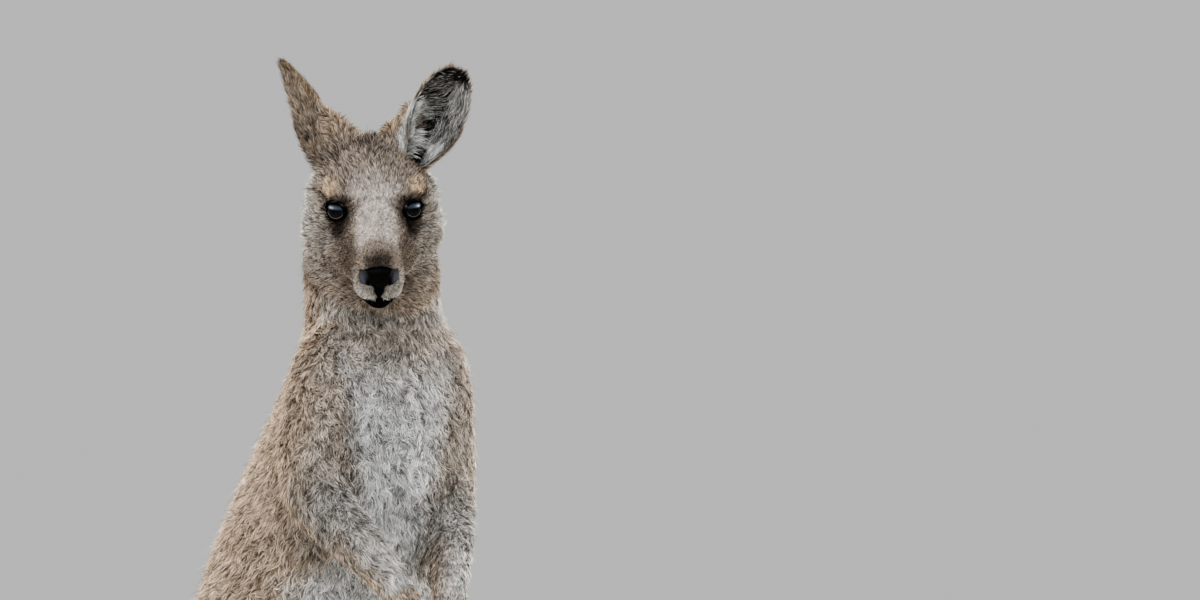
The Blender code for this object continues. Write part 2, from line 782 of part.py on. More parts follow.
NECK_CUT = ((-0.5, 2.4, 63.6), 34.0)       # middle of the cut, and how far it tips forward
SHOULDER_CUT = ((0.2, 2.2, 58.6), 14.0)
WAIST_CUT = ((0.0, -2.6, 44.0), 24.0)
# Cuts of the tail: name of what lies beyond, forward, up, degrees below level.
TAIL_CUTS = [
    ("tail_base", -18.9, 16.4, 50.0),
    ("tail_middle", -35.0, 3.7, 20.0),
    ("tail_tip", -55.0, 1.5, 2.0),
]
REACH = 0.45              # half size, in metres, of the blocks that cut
AFTER_CUTS = 0.66         # share of the triangles kept when the cut pieces are thinned again


def above_cut(name, cut, margin=0.0, turn=0.0):
    """A block above a level that tips forward, used to cut the trunk across."""
    middle, tip = cut
    turned = Euler((math.radians(tip), 0, math.radians(turn))).to_matrix().to_4x4()
    low = Vector((-REACH, -REACH, margin))
    return block(name, low, Vector((REACH,) * 3), Matrix.Translation(place(*middle)) @ turned)


def beyond_cut(name, forward, up, slope):
    """A block that holds the tail from this cut to its tip."""
    frame = Matrix.Translation(place(0, forward, up)) @ Matrix.Rotation(
        math.radians(-slope), 4, "X"
    )
    low, high = Vector((-REACH / 2, 0, -REACH / 2)), Vector((REACH / 2, 2 * REACH, REACH / 2))
    return block(name, low, high, frame)


def body_pieces():
    """Neck, trunk, tail and limbs to the wrists and ankles, apart from one another."""
    body = without(whole_body(), above_cut("head", NECK_CUT, -GAP, HEAD_TURN / 2))
    made = {}
    for word, side in SIDES.items():
        haunch = limb("haunch", mirrored(HAUNCH, side), sides=12, steps=1)
        for vertex in haunch.data.vertices:
            vertex.co.x += side * HAUNCH_LEAN * (vertex.co.z - 29 * CM)
        made["thigh_" + word] = parted(body, "thigh_" + word, haunch, FOLD_GAP)
        sleeve = limb("sleeve", UPPER_ARMS[word], sides=12, steps=1)
        made["upper_arm_" + word] = parted(body, "upper_arm_" + word, sleeve, FOLD_GAP)
    trunk, *limbs = islands(body)
    for item in limbs:
        middle = sum((v.co for v in item.data.vertices), Vector()) / len(item.data.vertices)
        word = "left" if middle.x > 0 else "right"
        if middle.z > 30 * CM:
            low, high = Vector((-0.1, -0.2, -0.1)), Vector((0.1, GAP, 0.1))
            made["forearm_" + word] = without(item, block("wrist", low, high, hand_frame(word)))
        else:
            low, high = Vector((-0.1, -0.1, -0.3)), Vector((0.1, 0.3, GAP))
            end = block("ankle", low, high, ankle_frame(SIDES[word]))
            made["shank_" + word] = without(item, end)
    for name, *cut in reversed(TAIL_CUTS):
        made[name] = parted(trunk, name, beyond_cut(name, *cut))
    made["neck"] = parted(trunk, "neck", above_cut("neck", SHOULDER_CUT))
    made["chest"] = parted(trunk, "chest", above_cut("chest", WAIST_CUT))
    made["abdomen"] = trunk
    for item in made.values():
        item.data.calc_loop_triangles()
        thinned(item, AFTER_CUTS * len(item.data.loop_triangles))
    return made


def rested(pieces):
    """Cuts all pieces flat at the floor and moves the origin under the middle of the box."""
    for name, item in pieces.items():
        if min(v.co.z for v in item.data.vertices) < 0:
            without(item, block("floor", Vector((-1, -1, -0.1)), Vector((1, 1, 0))))
    points = [v.co for item in pieces.values() for v in item.data.vertices]
    low = Vector(min(p[i] for p in points) for i in range(3))
    high = Vector(max(p[i] for p in points) for i in range(3))
    shift = Vector((-(low.x + high.x) / 2, -(low.y + high.y) / 2, -low.z))
    for item in pieces.values():
        item.data.transform(Matrix.Translation(shift))
    return shift


def finished(name, item):
    """One clean, closed piece with its name and material."""
    item = largest(name, item)
    shape = bmesh.new()
    shape.from_mesh(item.data)
    bmesh.ops.dissolve_degenerate(shape, dist=2e-5, edges=shape.edges)
    bmesh.ops.triangulate(shape, faces=shape.faces)
    bmesh.ops.recalc_face_normals(shape, faces=shape.faces)
    shape.to_mesh(item.data)
    shape.free()
    kind = next((kind for kind in MATERIALS if name.startswith(kind)), "coat")
    item.data.materials.clear()
    item.data.materials.append(material(*MATERIALS[kind]))
    item.name = item.data.name = name
    return item


# What a name starts with, and the material's name, colour and roughness.
MATERIALS = {
    "eye": ("dark_eye", (0.02, 0.012, 0.008), 0.08),
    "nose": ("bare_nose", (0.03, 0.026, 0.025), 0.5),
    "claw": ("dark_horn", (0.05, 0.045, 0.04), 0.35),
    "coat": ("grey_brown_fur", (0.36, 0.31, 0.26), 0.9),
}


def build():
    clear_scene()
    pieces = head_pieces()
    head = pieces["head"]
    throat = above_cut("throat", NECK_CUT, turn=HEAD_TURN / 2)
    combined(head, throat, "INTERSECT")
    drop(throat)
    pieces.update(body_pieces())
    for word, side in SIDES.items():
        for item in (*foot(word, side), *hand(word)):
            pieces[item.name] = item
    shift = rested(pieces)
    made = [finished(name, item) for name, item in pieces.items()]
    return made, shift


if __name__ == "__main__":
    build()
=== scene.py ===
# %% [markdown]
# # A young grey kangaroo, from solids to fur
#
# The solids of this museum model already have the animal's outline, out to the tips
# of its coat. This lesson dresses them: one skin goes inside them, lids, nostrils and
# lips are shaped on it, and several hundred thousand thin tufts of mesh grow from it.
# The solids are loaded as a fixed frame, and every size below is measured from them.

# %% Load the frame
import math

import bmesh
import bpy
import numpy as np
from mathutils import Matrix, Vector
from mathutils.bvhtree import BVHTree
from mathutils.kdtree import KDTree


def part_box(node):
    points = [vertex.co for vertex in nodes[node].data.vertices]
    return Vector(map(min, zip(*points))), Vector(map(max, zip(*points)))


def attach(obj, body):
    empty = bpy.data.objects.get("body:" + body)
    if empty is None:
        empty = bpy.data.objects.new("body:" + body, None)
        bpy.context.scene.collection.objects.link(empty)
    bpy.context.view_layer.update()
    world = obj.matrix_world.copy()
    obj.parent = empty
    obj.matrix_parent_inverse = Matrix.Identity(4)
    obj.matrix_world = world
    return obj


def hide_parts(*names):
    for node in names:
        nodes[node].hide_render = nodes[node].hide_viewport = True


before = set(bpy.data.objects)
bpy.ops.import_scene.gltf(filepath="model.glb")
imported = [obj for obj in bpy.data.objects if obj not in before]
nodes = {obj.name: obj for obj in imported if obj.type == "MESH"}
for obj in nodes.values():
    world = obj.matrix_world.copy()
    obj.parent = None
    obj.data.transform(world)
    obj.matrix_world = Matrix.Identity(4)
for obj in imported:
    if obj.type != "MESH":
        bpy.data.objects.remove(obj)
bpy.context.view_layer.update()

CM, MM = 0.01, 0.001
SIDES = {"right": -1.0, "left": 1.0}
chance = np.random.default_rng(7)
print("the frame has", len(nodes), "solids")

# %% [markdown]
# ## Landmarks
#
# Fur lies along the bones, and a face is drawn in its own directions, so both are
# measured first. The seam between two solids marks a joint of the body. The two eyes
# and the nose give the head its own axes: side, forward and up, in centimetres from
# the middle between the eyes. A real taxidermist marks the same points on the form.

# %% Landmarks of the body and the head's own axes
FACE_SLOPE = 21.96                # degrees from the head's level down to the nose
EYE_AT = (2.2, 0.58, 0.45)        # of the left eye, in the head's axes


def points_of(item):
    found = np.empty(len(item.data.vertices) * 3)
    item.data.vertices.foreach_get("co", found)
    return found.reshape(-1, 3)


def unit(rows):
    return rows / np.maximum(np.linalg.norm(rows, axis=-1, keepdims=True), 1e-12)


def middle(node):
    low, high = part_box(node)
    return np.array((low + high) / 2)


def seam(first, second, reach=6 * MM):
    """The middle of the points of the first solid that lie against the second."""
    tree = KDTree(len(nodes[second].data.vertices))
    for i, vertex in enumerate(nodes[second].data.vertices):
        tree.insert(vertex.co, i)
    tree.balance()
    near = [v.co[:] for v in nodes[first].data.vertices if tree.find(v.co)[2] < reach]
    return np.mean(near, axis=0)


eye_at = {word: middle("eye_" + word) for word in SIDES}
between = (eye_at["left"] + eye_at["right"]) / 2
head_side = unit(eye_at["left"] - eye_at["right"])
nose_line = middle("nose") - between
nose_line = unit(nose_line - head_side * (nose_line @ head_side))
head_up = np.cross(nose_line, head_side)
slope = math.radians(FACE_SLOPE)
head_forward = nose_line * math.cos(slope) + head_up * math.sin(slope)
head_up = np.cross(head_forward, head_side)
head_axes = np.array((head_side, head_forward, head_up))
head_origin = between - (head_forward * EYE_AT[1] + head_up * EYE_AT[2]) * CM


def in_head(points):
    """Points in the head's axes, in centimetres: side, forward, up."""
    return (np.asarray(points) - head_origin) @ head_axes.T / CM


def from_head(rows):
    return head_origin + (np.asarray(rows) * CM) @ head_axes


neck_top, neck_root = seam("head", "neck"), seam("neck", "chest")
waist, tail_root = seam("chest", "abdomen"), seam("abdomen", "tail_base")
print("the eyes are", round(between[2] / CM, 1), "cm above the floor")

# %% [markdown]
# ## Maths for shaders
#
# A material is a net of nodes. Drawn by hand it soon turns into a tangle, so here one
# small class wraps a socket and gives it the operators of a number: mask * 0.5 + 0.2
# adds its own Math nodes. Any other node comes from one method that takes its type,
# its settings and what goes into its sockets.

# %% A wire between nodes, and a finish under construction
class Wire:
    """One socket of a material, with the operators of a number."""

    def __init__(self, finish, socket):
        self.finish, self.socket = finish, socket

    def maths(self, operation, *values):
        return self.finish.node("Math", {"operation": operation}, dict(enumerate(values)))

    def __add__(self, other):
        return self.maths("ADD", self, other)

    def __sub__(self, other):
        return self.maths("SUBTRACT", self, other)

    def __rsub__(self, other):
        return self.maths("SUBTRACT", other, self)

    def __mul__(self, other):
        return self.maths("MULTIPLY", self, other)

    def __pow__(self, other):
        return self.maths("POWER", self, other)

    __radd__, __rmul__ = __add__, __mul__

    def step(self, low, high):
        """0 below low, 1 above high, and a smooth rise between."""
        settings = {"interpolation_type": "SMOOTHSTEP"}
        return self.finish.node("MapRange", settings, {0: self, 1: low, 2: high})

    def scaled(self, size):
        """A colour or vector, times a number."""
        return self.finish.node("VectorMath", {"operation": "SCALE"}, {0: self, "Scale": size})


class Finish:
    """A material under construction."""

    def __init__(self, name, **constants):
        self.material = bpy.data.materials.new(name)
        self.material.use_nodes = True
        self.tree = self.material.node_tree
        self.shader = self.tree.nodes["Principled BSDF"]
        for socket, value in constants.items():
            self.plug(self.shader.inputs[socket.replace("_", " ")], value)

    def plug(self, socket, value):
        if isinstance(value, Wire):
            self.tree.links.new(value.socket, socket)
        elif socket.type == "RGBA":
            socket.default_value = (*value, 1.0)
        else:
            socket.default_value = value

    def node(self, kind, settings=None, sockets=None, out=0):
        made = self.tree.nodes.new("ShaderNode" + kind)
        for name, value in (settings or {}).items():
            setattr(made, name, value)
        for name, value in (sockets or {}).items():
            self.plug(made.inputs[name], value)
        return Wire(self, made.outputs[out])

    def read(self, name, out="Fac"):
        return self.node("Attribute", {"attribute_name": name}, out=out)

    def noise(self, place, scale, detail=2.0, rough=0.5):
        sockets = {"Vector": place, "Scale": scale, "Detail": detail, "Roughness": rough}
        return self.node("TexNoise", None, sockets)

    def mix(self, share, first, second):
        settings = {"data_type": "RGBA", "clamp_factor": True}
        return self.node("Mix", settings, {0: share, 6: first, 7: second}, out=2)

    def bump(self, height, distance, strength=1.0):
        sockets = {"Height": height, "Distance": distance, "Strength": strength}
        return self.node("Bump", None, sockets)

    def give(self, socket, value):
        self.plug(self.shader.inputs[socket], value)


print("shader maths is ready")

# %% [markdown]
# ## Camera, lights and floor
#
# The animal is seen from its right front at its own height, through a long lens from
# far away, so nothing on it is stretched. Light is that of a bright cloudy day: one
# wide soft light from above the front and one from overhead. Two warm lights behind
# the head and two weak ones at the sides have narrow beams, which catch the tips of
# the coat without washing out its sides. A pale floor carries the feet.

# %% Camera, lights and floor
VIEW_AZIMUTH = -28.0              # degrees round the animal
VIEW_DISTANCE, VIEW_WIDTH = 9.0, 0.902
VIEW_SHIFT = (0.1690, -0.0690)    # where the camera looks, to the right of the eyes and above them
BODY_DEPTH = 0.04                 # how far behind the eyes the middle of the body's depth lies
SENSOR = 36.0                     # millimetres

turn = math.radians(VIEW_AZIMUTH)
to_right = Vector((math.cos(turn), math.sin(turn), 0))
to_camera = Vector((math.sin(turn), -math.cos(turn), 0))
target = Vector(between) + to_right * VIEW_SHIFT[0] + Vector((0, 0, VIEW_SHIFT[1]))
target -= to_camera * BODY_DEPTH

lens = bpy.data.cameras.new("long_lens")
lens.sensor_width = SENSOR
lens.lens = SENSOR * VIEW_DISTANCE / VIEW_WIDTH
lens.clip_start, lens.clip_end = 0.1, 60.0
camera = bpy.data.objects.new("camera", lens)
camera.location = target + to_camera * VIEW_DISTANCE
camera.rotation_euler = (math.pi / 2, 0, turn)
bpy.context.scene.collection.objects.link(camera)
bpy.context.scene.camera = camera


def soft_light(name, place, aim, size, power, colour, spread):
    """A square studio light at a place, turned to what it lights; its beam has a spread."""
    lamp = bpy.data.lights.new(name, "AREA")
    lamp.size, lamp.energy, lamp.color = size, power, colour
    lamp.spread = math.radians(spread)
    made = bpy.data.objects.new(name, lamp)
    made.location = place
    made.rotation_euler = (Vector(aim) - Vector(place)).to_track_quat("-Z", "Y").to_euler()
    bpy.context.scene.collection.objects.link(made)


chest = Vector(neck_root)
LIGHTS = {
    # name: (right of the view, towards the camera, up), size, power, colour, spread in degrees,
    # and how far below the neck's root it points
    "front": ((-0.5, 1.9, 2.2), 1.8, 102.0, (1.0, 0.995, 0.99), 180, 0.0),
    "rim_left": ((-1.20, -2.7, 1.0), 0.9, 26.0, (1.0, 0.90, 0.76), 26, 0.0),
    "rim_right": ((1.08, -2.9, 1.0), 0.45, 40.0, (1.0, 0.94, 0.84), 26, 0.0),
    "side_left": ((-2.2, -0.6, 0.0), 0.8, 4.0, (1.0, 0.88, 0.74), 20, 0.36),
    "side_right": ((2.2, -0.9, 0.0), 0.8, 5.5, (1.0, 0.95, 0.86), 20, 0.36),
    "above": ((0.0, 0.0, 2.6), 2.0, 40.0, (0.95, 0.98, 1.0), 180, 0.0),
}
for name, (place, size, power, colour, spread, drop) in LIGHTS.items():
    spot = chest + to_right * place[0] + to_camera * place[1] + Vector((0, 0, place[2]))
    soft_light(name, spot, chest - Vector((0, 0, drop)), size, power, colour, spread)

SKY_COLOUR, SKY_STRENGTH = (0.60, 0.61, 0.60, 1.0), 1.1
sky = bpy.data.worlds.new("pale_sky")
sky.use_nodes = True
sky.node_tree.nodes["Background"].inputs["Color"].default_value = SKY_COLOUR
sky.node_tree.nodes["Background"].inputs["Strength"].default_value = SKY_STRENGTH
bpy.context.scene.world = sky
print("the camera stands", VIEW_DISTANCE, "m away, among", len(LIGHTS), "lights")

# %% The floor
FLOOR_RADIUS, FLOOR_SIDES = 6.0, 96
UNDER_FEET = 0.5 * MM             # how far the floor lies under the feet
disc = bmesh.new()
bmesh.ops.create_circle(disc, cap_ends=True, radius=FLOOR_RADIUS, segments=FLOOR_SIDES)
floor_mesh = bpy.data.meshes.new("floor")
disc.to_mesh(floor_mesh)
disc.free()
floor = bpy.data.objects.new("floor", floor_mesh)
floor.location = (0, 0, -UNDER_FEET)
bpy.context.scene.collection.objects.link(floor)
paint = Finish("pale_floor", Base_Color=(0.36, 0.355, 0.34), Roughness=0.8)
ground = paint.node("TexCoord", out="Object")
paint.give("Roughness", paint.noise(ground, 6.0) * 0.2 + 0.7)
floor.data.materials.append(paint.material)
print("the floor is", FLOOR_RADIUS * 2, "m wide")

# %% [markdown]
# ## One skin inside the solids
#
# Under real fur there is one skin without seams. The solids of flesh are therefore
# grown by less than a millimetre until they touch, and fused with a voxel remesh,
# which keeps only the outside. Head, ears and hands stay fine. The rest is thinned,
# because fur covers it, and then relaxed until the flat faces of the solids are gone.

# %% Fuse the flesh
TOUCH = 0.4 * MM                  # how far each solid grows to meet its neighbour
VOXEL = 1.3 * MM
KEPT = 0.19                       # share of the faces that thinning leaves
FINE = ("head", "lower_jaw", "nose", "ear_left", "ear_right", "hand_left", "hand_right")
flesh = sorted(name for name in nodes if not name.startswith(("claw", "eye", "nose")))


def applied(item):
    graph = bpy.context.evaluated_depsgraph_get()
    mesh = bpy.data.meshes.new_from_object(item.evaluated_get(graph))
    item.modifiers.clear()
    item.data = mesh
    return item


def inside_boxes(points, names, margin):
    found = np.zeros(len(points), bool)
    for name in names:
        low, high = (np.array(corner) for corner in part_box(name))
        found |= ((points > low - margin) & (points < high + margin)).all(axis=1)
    return found


def fused_skin():
    whole = bmesh.new()
    for name in [*flesh, "eye_left", "eye_right", "nose"]:
        part = bmesh.new()
        part.from_mesh(nodes[name].data)
        bmesh.ops.remove_doubles(part, verts=part.verts, dist=1e-6)
        part.normal_update()
        for vertex in part.verts:
            vertex.co += vertex.normal * TOUCH
        mesh = bpy.data.meshes.new("part")
        part.to_mesh(mesh)
        part.free()
        whole.from_mesh(mesh)
    mesh = bpy.data.meshes.new("skin")
    whole.to_mesh(mesh)
    whole.free()
    made = bpy.data.objects.new("fused", mesh)
    bpy.context.scene.collection.objects.link(made)
    remesh = made.modifiers.new("fuse", "REMESH")
    remesh.mode, remesh.voxel_size = "VOXEL", VOXEL
    applied(made)
    fine = inside_boxes(points_of(made), FINE, 5 * MM)
    keep = made.vertex_groups.new(name="keep")
    keep.add([int(i) for i in np.flatnonzero(fine)], 1.0, "REPLACE")
    keep.add([int(i) for i in np.flatnonzero(~fine)], 0.0, "REPLACE")
    thin = made.modifiers.new("thin", "DECIMATE")
    thin.ratio, thin.vertex_group = KEPT, "keep"
    thin.invert_vertex_group, thin.vertex_group_factor = True, 10.0
    return applied(made)


def refined(item, chosen):
    """Splits the faces whose corners are all chosen, and makes all faces triangles."""
    shape = bmesh.new()
    shape.from_mesh(item.data)
    shape.verts.ensure_lookup_table()
    edges = [e for e in shape.edges if chosen[e.verts[0].index] and chosen[e.verts[1].index]]
    bmesh.ops.subdivide_edges(shape, edges=edges, cuts=1, use_grid_fill=True)
    bmesh.ops.triangulate(shape, faces=shape.faces)
    shape.to_mesh(item.data)
    shape.free()
    return item


MUZZLE_FROM, MUZZLE_LOW, MUZZLE_HIGH, MUZZLE_HALF = 2.6, -6.5, 1.0, 3.2
FINE_ROUND_EYE = 2.4              # radius, in centimetres, in which the skin is refined
fused = fused_skin()
at = in_head(points_of(fused))
side, forward, up = at.T
refine = (forward > MUZZLE_FROM) & (abs(side) < MUZZLE_HALF) & (up > MUZZLE_LOW) & (up < MUZZLE_HIGH)
refine &= points_of(fused)[:, 2] > neck_root[2]
for sign in SIDES.values():
    refine |= np.linalg.norm(at - np.array(EYE_AT) * (sign, 1, 1), axis=1) < FINE_ROUND_EYE
refined(fused, refine)
skin = points_of(fused)
faces = np.empty(len(fused.data.polygons) * 3, np.int32)
fused.data.polygons.foreach_get("vertices", faces)
faces = faces.reshape(-1, 3)
pairs = np.empty(len(fused.data.edges) * 2, np.int32)
fused.data.edges.foreach_get("vertices", pairs)
pairs = pairs.reshape(-1, 2)
bpy.data.objects.remove(fused, do_unlink=True)
print("the fused skin has", len(skin), "points and", len(faces), "triangles")

# %% Helpers that work on the whole skin at once
neighbours = np.zeros(len(skin))
np.add.at(neighbours, pairs.ravel(), 1.0)


def relaxed(values, rounds, weight=0.6):
    """Each point's values drawn towards the mean of its neighbours', again and again."""
    values = np.array(values, float)
    flat = values.reshape(len(values), -1)
    share = np.broadcast_to(np.asarray(weight, float), (len(flat),))[:, None]
    for _ in range(rounds):
        mean = np.empty_like(flat)
        for k in range(flat.shape[1]):
            total = np.bincount(pairs[:, 0], flat[pairs[:, 1], k], len(flat))
            total += np.bincount(pairs[:, 1], flat[pairs[:, 0], k], len(flat))
            mean[:, k] = total / neighbours
        flat = flat + (mean - flat) * share
    return flat.reshape(values.shape)


def normals_of(points):
    corners = points[faces]
    areas = np.cross(corners[:, 1] - corners[:, 0], corners[:, 2] - corners[:, 0])
    total = np.stack(
        [
            sum(np.bincount(faces[:, c], areas[:, k], len(points)) for c in range(3))
            for k in range(3)
        ],
        axis=1,
    )
    return unit(total)


def rise(values, low, high):
    """0 at low, 1 at high, and smooth between."""
    t = np.clip((np.asarray(values) - low) / (high - low), 0, 1)
    return t * t * (3 - 2 * t)


def wander(points, size, seed, waves=9):
    """Smooth random numbers, about -1 to 1, that change over the given size."""
    drawn = np.random.default_rng(seed)
    total = np.zeros(len(points))
    for _ in range(waves):
        direction = unit(drawn.normal(size=3)) * drawn.uniform(0.7, 1.4) * 2 * math.pi / size
        total += np.sin(points @ direction + drawn.uniform(0, 2 * math.pi))
    return total / math.sqrt(waves / 2) / 1.6


def owners(points):
    """For each point, the name of the solid of flesh that is nearest."""
    corners, polygons, names = [], [], []
    for name in flesh:
        mesh = nodes[name].data
        start = len(corners)
        corners.extend(v.co[:] for v in mesh.vertices)
        polygons.extend([start + i for i in p.vertices] for p in mesh.polygons)
        names.extend([name] * len(mesh.polygons))
    tree = BVHTree.FromPolygons(corners, polygons)
    return np.array([names[tree.find_nearest(p)[2]] for p in points])


print("helpers are ready")

# %% Smooth the facets away
EAR_ROOT_TOPS = ((-3.9, -5.7, 6.4), (3.2, -6.7, 6.6))     # where the flesh of the roots ends
owner = owners(skin)
fine = np.isin(owner, FINE)
skin = relaxed(skin, 3, np.where(fine, 0.5, 0.6))
skin = relaxed(skin, 12, np.where(fine, 0.0, 0.6))
at = in_head(skin)
crown = rise(at[:, 2], 2.2, 3.2) * np.isin(owner, ("head", "ear_left", "ear_right"))
skin = relaxed(skin, 9, 0.55 * crown)
for top in EAR_ROOT_TOPS:
    melting = (1 - rise(np.linalg.norm(at - np.array(top), axis=1), 0.9, 2.3)) * (owner == "head")
    skin = relaxed(skin, 40, 0.6 * melting)
normal = normals_of(skin)
at = in_head(skin)
print("the skin's parts are", len(set(owner)))

# %% [markdown]
# ## Spots on the head
#
# A sculptor marks spots on a head before pressing or painting them. A spot here is a
# soft ellipsoid with a middle, three radii and a fullness. It is 1 in its middle and
# fades to 0 at its surface, and a fullness under 1 widens the even part. Shapes and
# markings below both use them by name, on the middle line or on both sides at once.

# %% Spots, by name
SPOTS = {
    # middle and radii in the head's axes, in centimetres, and fullness
    "long_cheek": ((4.6, -3.0, -2.0), (2.6, 3.2, 4.0), 1.0),
    "lip_pad": ((0.95, 6.7, -3.55), (1.1, 1.5, 0.85), 1.0),
    "chin": ((0.0, 6.8, -5.0), (1.8, 1.8, 1.2), 1.0),
    "ear_saddle": ((1.9, -6.2, 5.8), (1.5, 1.9, 1.5), 1.0),
    "brow": ((3.1, 0.2, 1.75), (2.3, 2.0, 1.1), 1.0),
    "muzzle_hollow": ((2.2, 4.2, -2.0), (1.4, 2.8, 2.2), 1.0),
    "cheek": ((4.3, -0.6, -2.6), (1.8, 2.6, 1.6), 1.0),
    "ear_mouth": ((3.85, -5.85, 5.1), (1.0, 1.0, 1.4), 1.0),
    "mouth_middle": ((0.0, 7.3, -4.25), (0.6, 1.2, 0.35), 0.3),
    "lip": ((1.05, 7.0, -3.60), (1.4, 1.8, 1.1), 0.4),
    "nostril_side": ((1.75, 6.6, -2.9), (0.6, 1.3, 1.0), 0.5),
    "crest": ((0.0, -3.1, 4.3), (1.2, 2.6, 1.8), 0.6),
    "ear_root": ((2.5, -4.9, 4.6), (2.4, 2.2, 2.6), 1.0),
    "grey_cheek": ((4.2, -0.4, -2.4), (3.0, 4.0, 4.0), 0.6),
    "behind_eye": ((4.8, -5.0, 1.4), (2.3, 2.3, 2.7), 0.4),
    "cheek_edge": ((5.2, -3.0, -1.6), (1.9, 3.0, 5.0), 0.8),
    "tan_brow": ((3.05, -0.2, 1.6), (1.4, 1.6, 0.80), 0.6),
    # painted shade under the cheek's bulge
    "under_cheek": ((3.0, 0.8, -3.6), (1.6, 3.0, 1.5), 1.0),
    "over_nose": ((0.0, 7.3, -1.35), (1.15, 1.3, 1.0), 0.3),
    "nose_top": ((0.0, 7.5, -1.45), (1.05, 1.0, 0.65), 0.5),
}


def spot(name, at):
    """1 in the middle of a spot, and smoothly 0 at its surface."""
    centre, radii, fullness = SPOTS[name]
    away = np.linalg.norm((at - np.array(centre)) / np.array(radii), axis=-1)
    return (1 - rise(away, 0.0, 1.0)) ** fullness


def both(name, at):
    """The same spot on both sides of the head."""
    return np.maximum(spot(name, at), spot(name, at * (-1, 1, 1)))


print(len(SPOTS), "spots are marked")

# %% [markdown]
# ## The lie and the length of the coat
#
# Hair points from the nose back over the head, down the neck, and along each limb to
# its end. Every solid therefore gets one direction, taken between two landmarks, and
# one row of sizes. Both are then relaxed over the skin, so that they flow into one
# another without a border, as a real coat does.

# %% Sizes of the coat, one row for each part
EARS = {
    # base, tip and the way that it opens, in the head's axes
    "right": ((-1.9, -4.0, 2.4), (-6.5, -8.05, 9.4), (-0.91, -0.38, 0.2)),
    "left": ((2.7, -4.2, 2.2), (6.95, -7.6, 8.45), (0.22, 0.95, 0.3)),
}
# length, depth and width of a tuft in millimetres, how many times tufts cover the skin, and curl
COATS = {
    "head": (6.8, 2.4, 0.60, 3.0, 0.35),
    "lower_jaw": (3.6, 1.0, 0.45, 2.8, 0.15),
    "ear": (4.8, 1.1, 0.34, 2.8, 0.20),
    "neck": (9.5, 4.4, 0.56, 2.8, 0.75),
    "chest": (10.5, 5.0, 0.56, 2.8, 0.95),
    "abdomen": (11.5, 5.2, 0.74, 2.7, 0.85),
    "tail_base": (12.0, 4.2, 0.95, 2.2, 0.45),
    "tail_middle": (9.5, 2.7, 0.90, 2.2, 0.25),
    "tail_tip": (8.5, 2.1, 0.85, 2.2, 0.20),
    "upper_arm": (9.5, 3.8, 0.56, 2.8, 0.90),
    "forearm": (7.5, 2.3, 0.52, 2.8, 0.55),
    "hand": (3.8, 0.9, 0.55, 2.2, 0.15),
    "thigh": (12.5, 5.0, 0.90, 2.4, 0.65),
    "shank": (8.5, 2.5, 0.80, 2.15, 0.35),
    "foot": (4.5, 1.0, 0.80, 1.85, 0.15),
}
MUZZLE_COAT = (2.4, 0.6, 0.40, 3.0, 0.10)


def kind_of(name):
    return next(kind for kind in COATS if name.startswith(kind))


print("the coat has", len(COATS), "lengths")

# %% The way that the hair points, part by part
lies = {
    "neck": neck_root - neck_top,
    "chest": waist - neck_root,
    "abdomen": np.array((0, 0.35, -1.0)),
    "tail_base": seam("tail_base", "tail_middle") - tail_root,
    "tail_middle": seam("tail_middle", "tail_tip") - seam("tail_base", "tail_middle"),
    "tail_tip": np.array((0, 1.0, 0)),
    "head": -head_forward,
    "lower_jaw": -head_forward - head_up * 0.3,
}
for word in SIDES:
    shoulder, elbow = seam("upper_arm_" + word, "chest"), seam("upper_arm_" + word, "forearm_" + word)
    wrist, fingers = seam("forearm_" + word, "hand_" + word), middle("claw_third_finger_" + word)
    knee, ankle = seam("thigh_" + word, "shank_" + word), seam("shank_" + word, "foot_" + word)
    lies["upper_arm_" + word] = elbow - shoulder + np.array((0, 0.03, 0))
    lies["forearm_" + word] = wrist - elbow
    lies["hand_" + word] = fingers - wrist
    lies["thigh_" + word] = np.array((0, 0.5, -1.0))
    lies["shank_" + word] = ankle - knee
    lies["foot_" + word] = middle("claw_fourth_toe_" + word) - ankle
    base, tip, _ = EARS[word]
    lies["ear_" + word] = (np.array(tip) - np.array(base)) @ head_axes

lie, sizes = np.zeros((len(skin), 3)), np.zeros((len(skin), 5))
for name in set(owner):
    mine = owner == name
    lie[mine] = unit(lies[name])
    sizes[mine] = COATS[kind_of(name)]
print("hair lies in", len(lies), "directions")

# %% The fan of hair on the head, and the flow between parts
on_head = np.isin(owner, ("head", "lower_jaw"))
side, forward, up = at.T
back_of_head = rise(-forward, 1.5, 5.5)
fan = np.stack(
    [
        np.tanh(side / 1.5) * (0.25 + 0.5 * rise(-up, 0.0, 3.0)),
        -1.0 + 0.5 * back_of_head,
        0.45 * rise(up, 0.0, 2.5) * (1 - back_of_head) - 0.8 * rise(-up, 0.5, 4.0) - back_of_head,
    ],
    axis=1,
)
lie[on_head] = unit(fan[on_head]) @ head_axes
short = rise(forward, -1.5, 4.5)[:, None] * (on_head & (owner == "head"))[:, None]
sizes += (np.array(MUZZLE_COAT) - sizes) * short      # the coat gets short towards the nose
longer_cheek = both("long_cheek", at) * on_head
sizes[:, :2] *= 1 + 0.28 * longer_cheek[:, None]
lie = relaxed(lie, 25)
sizes = relaxed(sizes, 14)
print("tufts are between", sizes[:, 0].min().round(1), "and", sizes[:, 0].max().round(1), "mm long")

# %% Draw the skin in by the coat's depth
skin = skin - normal * (relaxed(sizes[:, 1], 6) * MM)[:, None]
skin = relaxed(skin, 2, 0.4)
normal = normals_of(skin)
at = in_head(skin)
side, forward, up = at.T
print("the skin lies up to", round(sizes[:, 1].max(), 1), "mm inside the solids")

# %% [markdown]
# ## Shaping the face
#
# A fused form has no lids, nostrils or lips. They are pressed and raised here with
# soft round masks, the way a sculptor works clay with a thumb, in the head's axes.
# Round each eye the skin is first drawn down on the ball. Its opening is then cut
# away, and a ring of lid is lofted from under the ball's edge out over the skin.

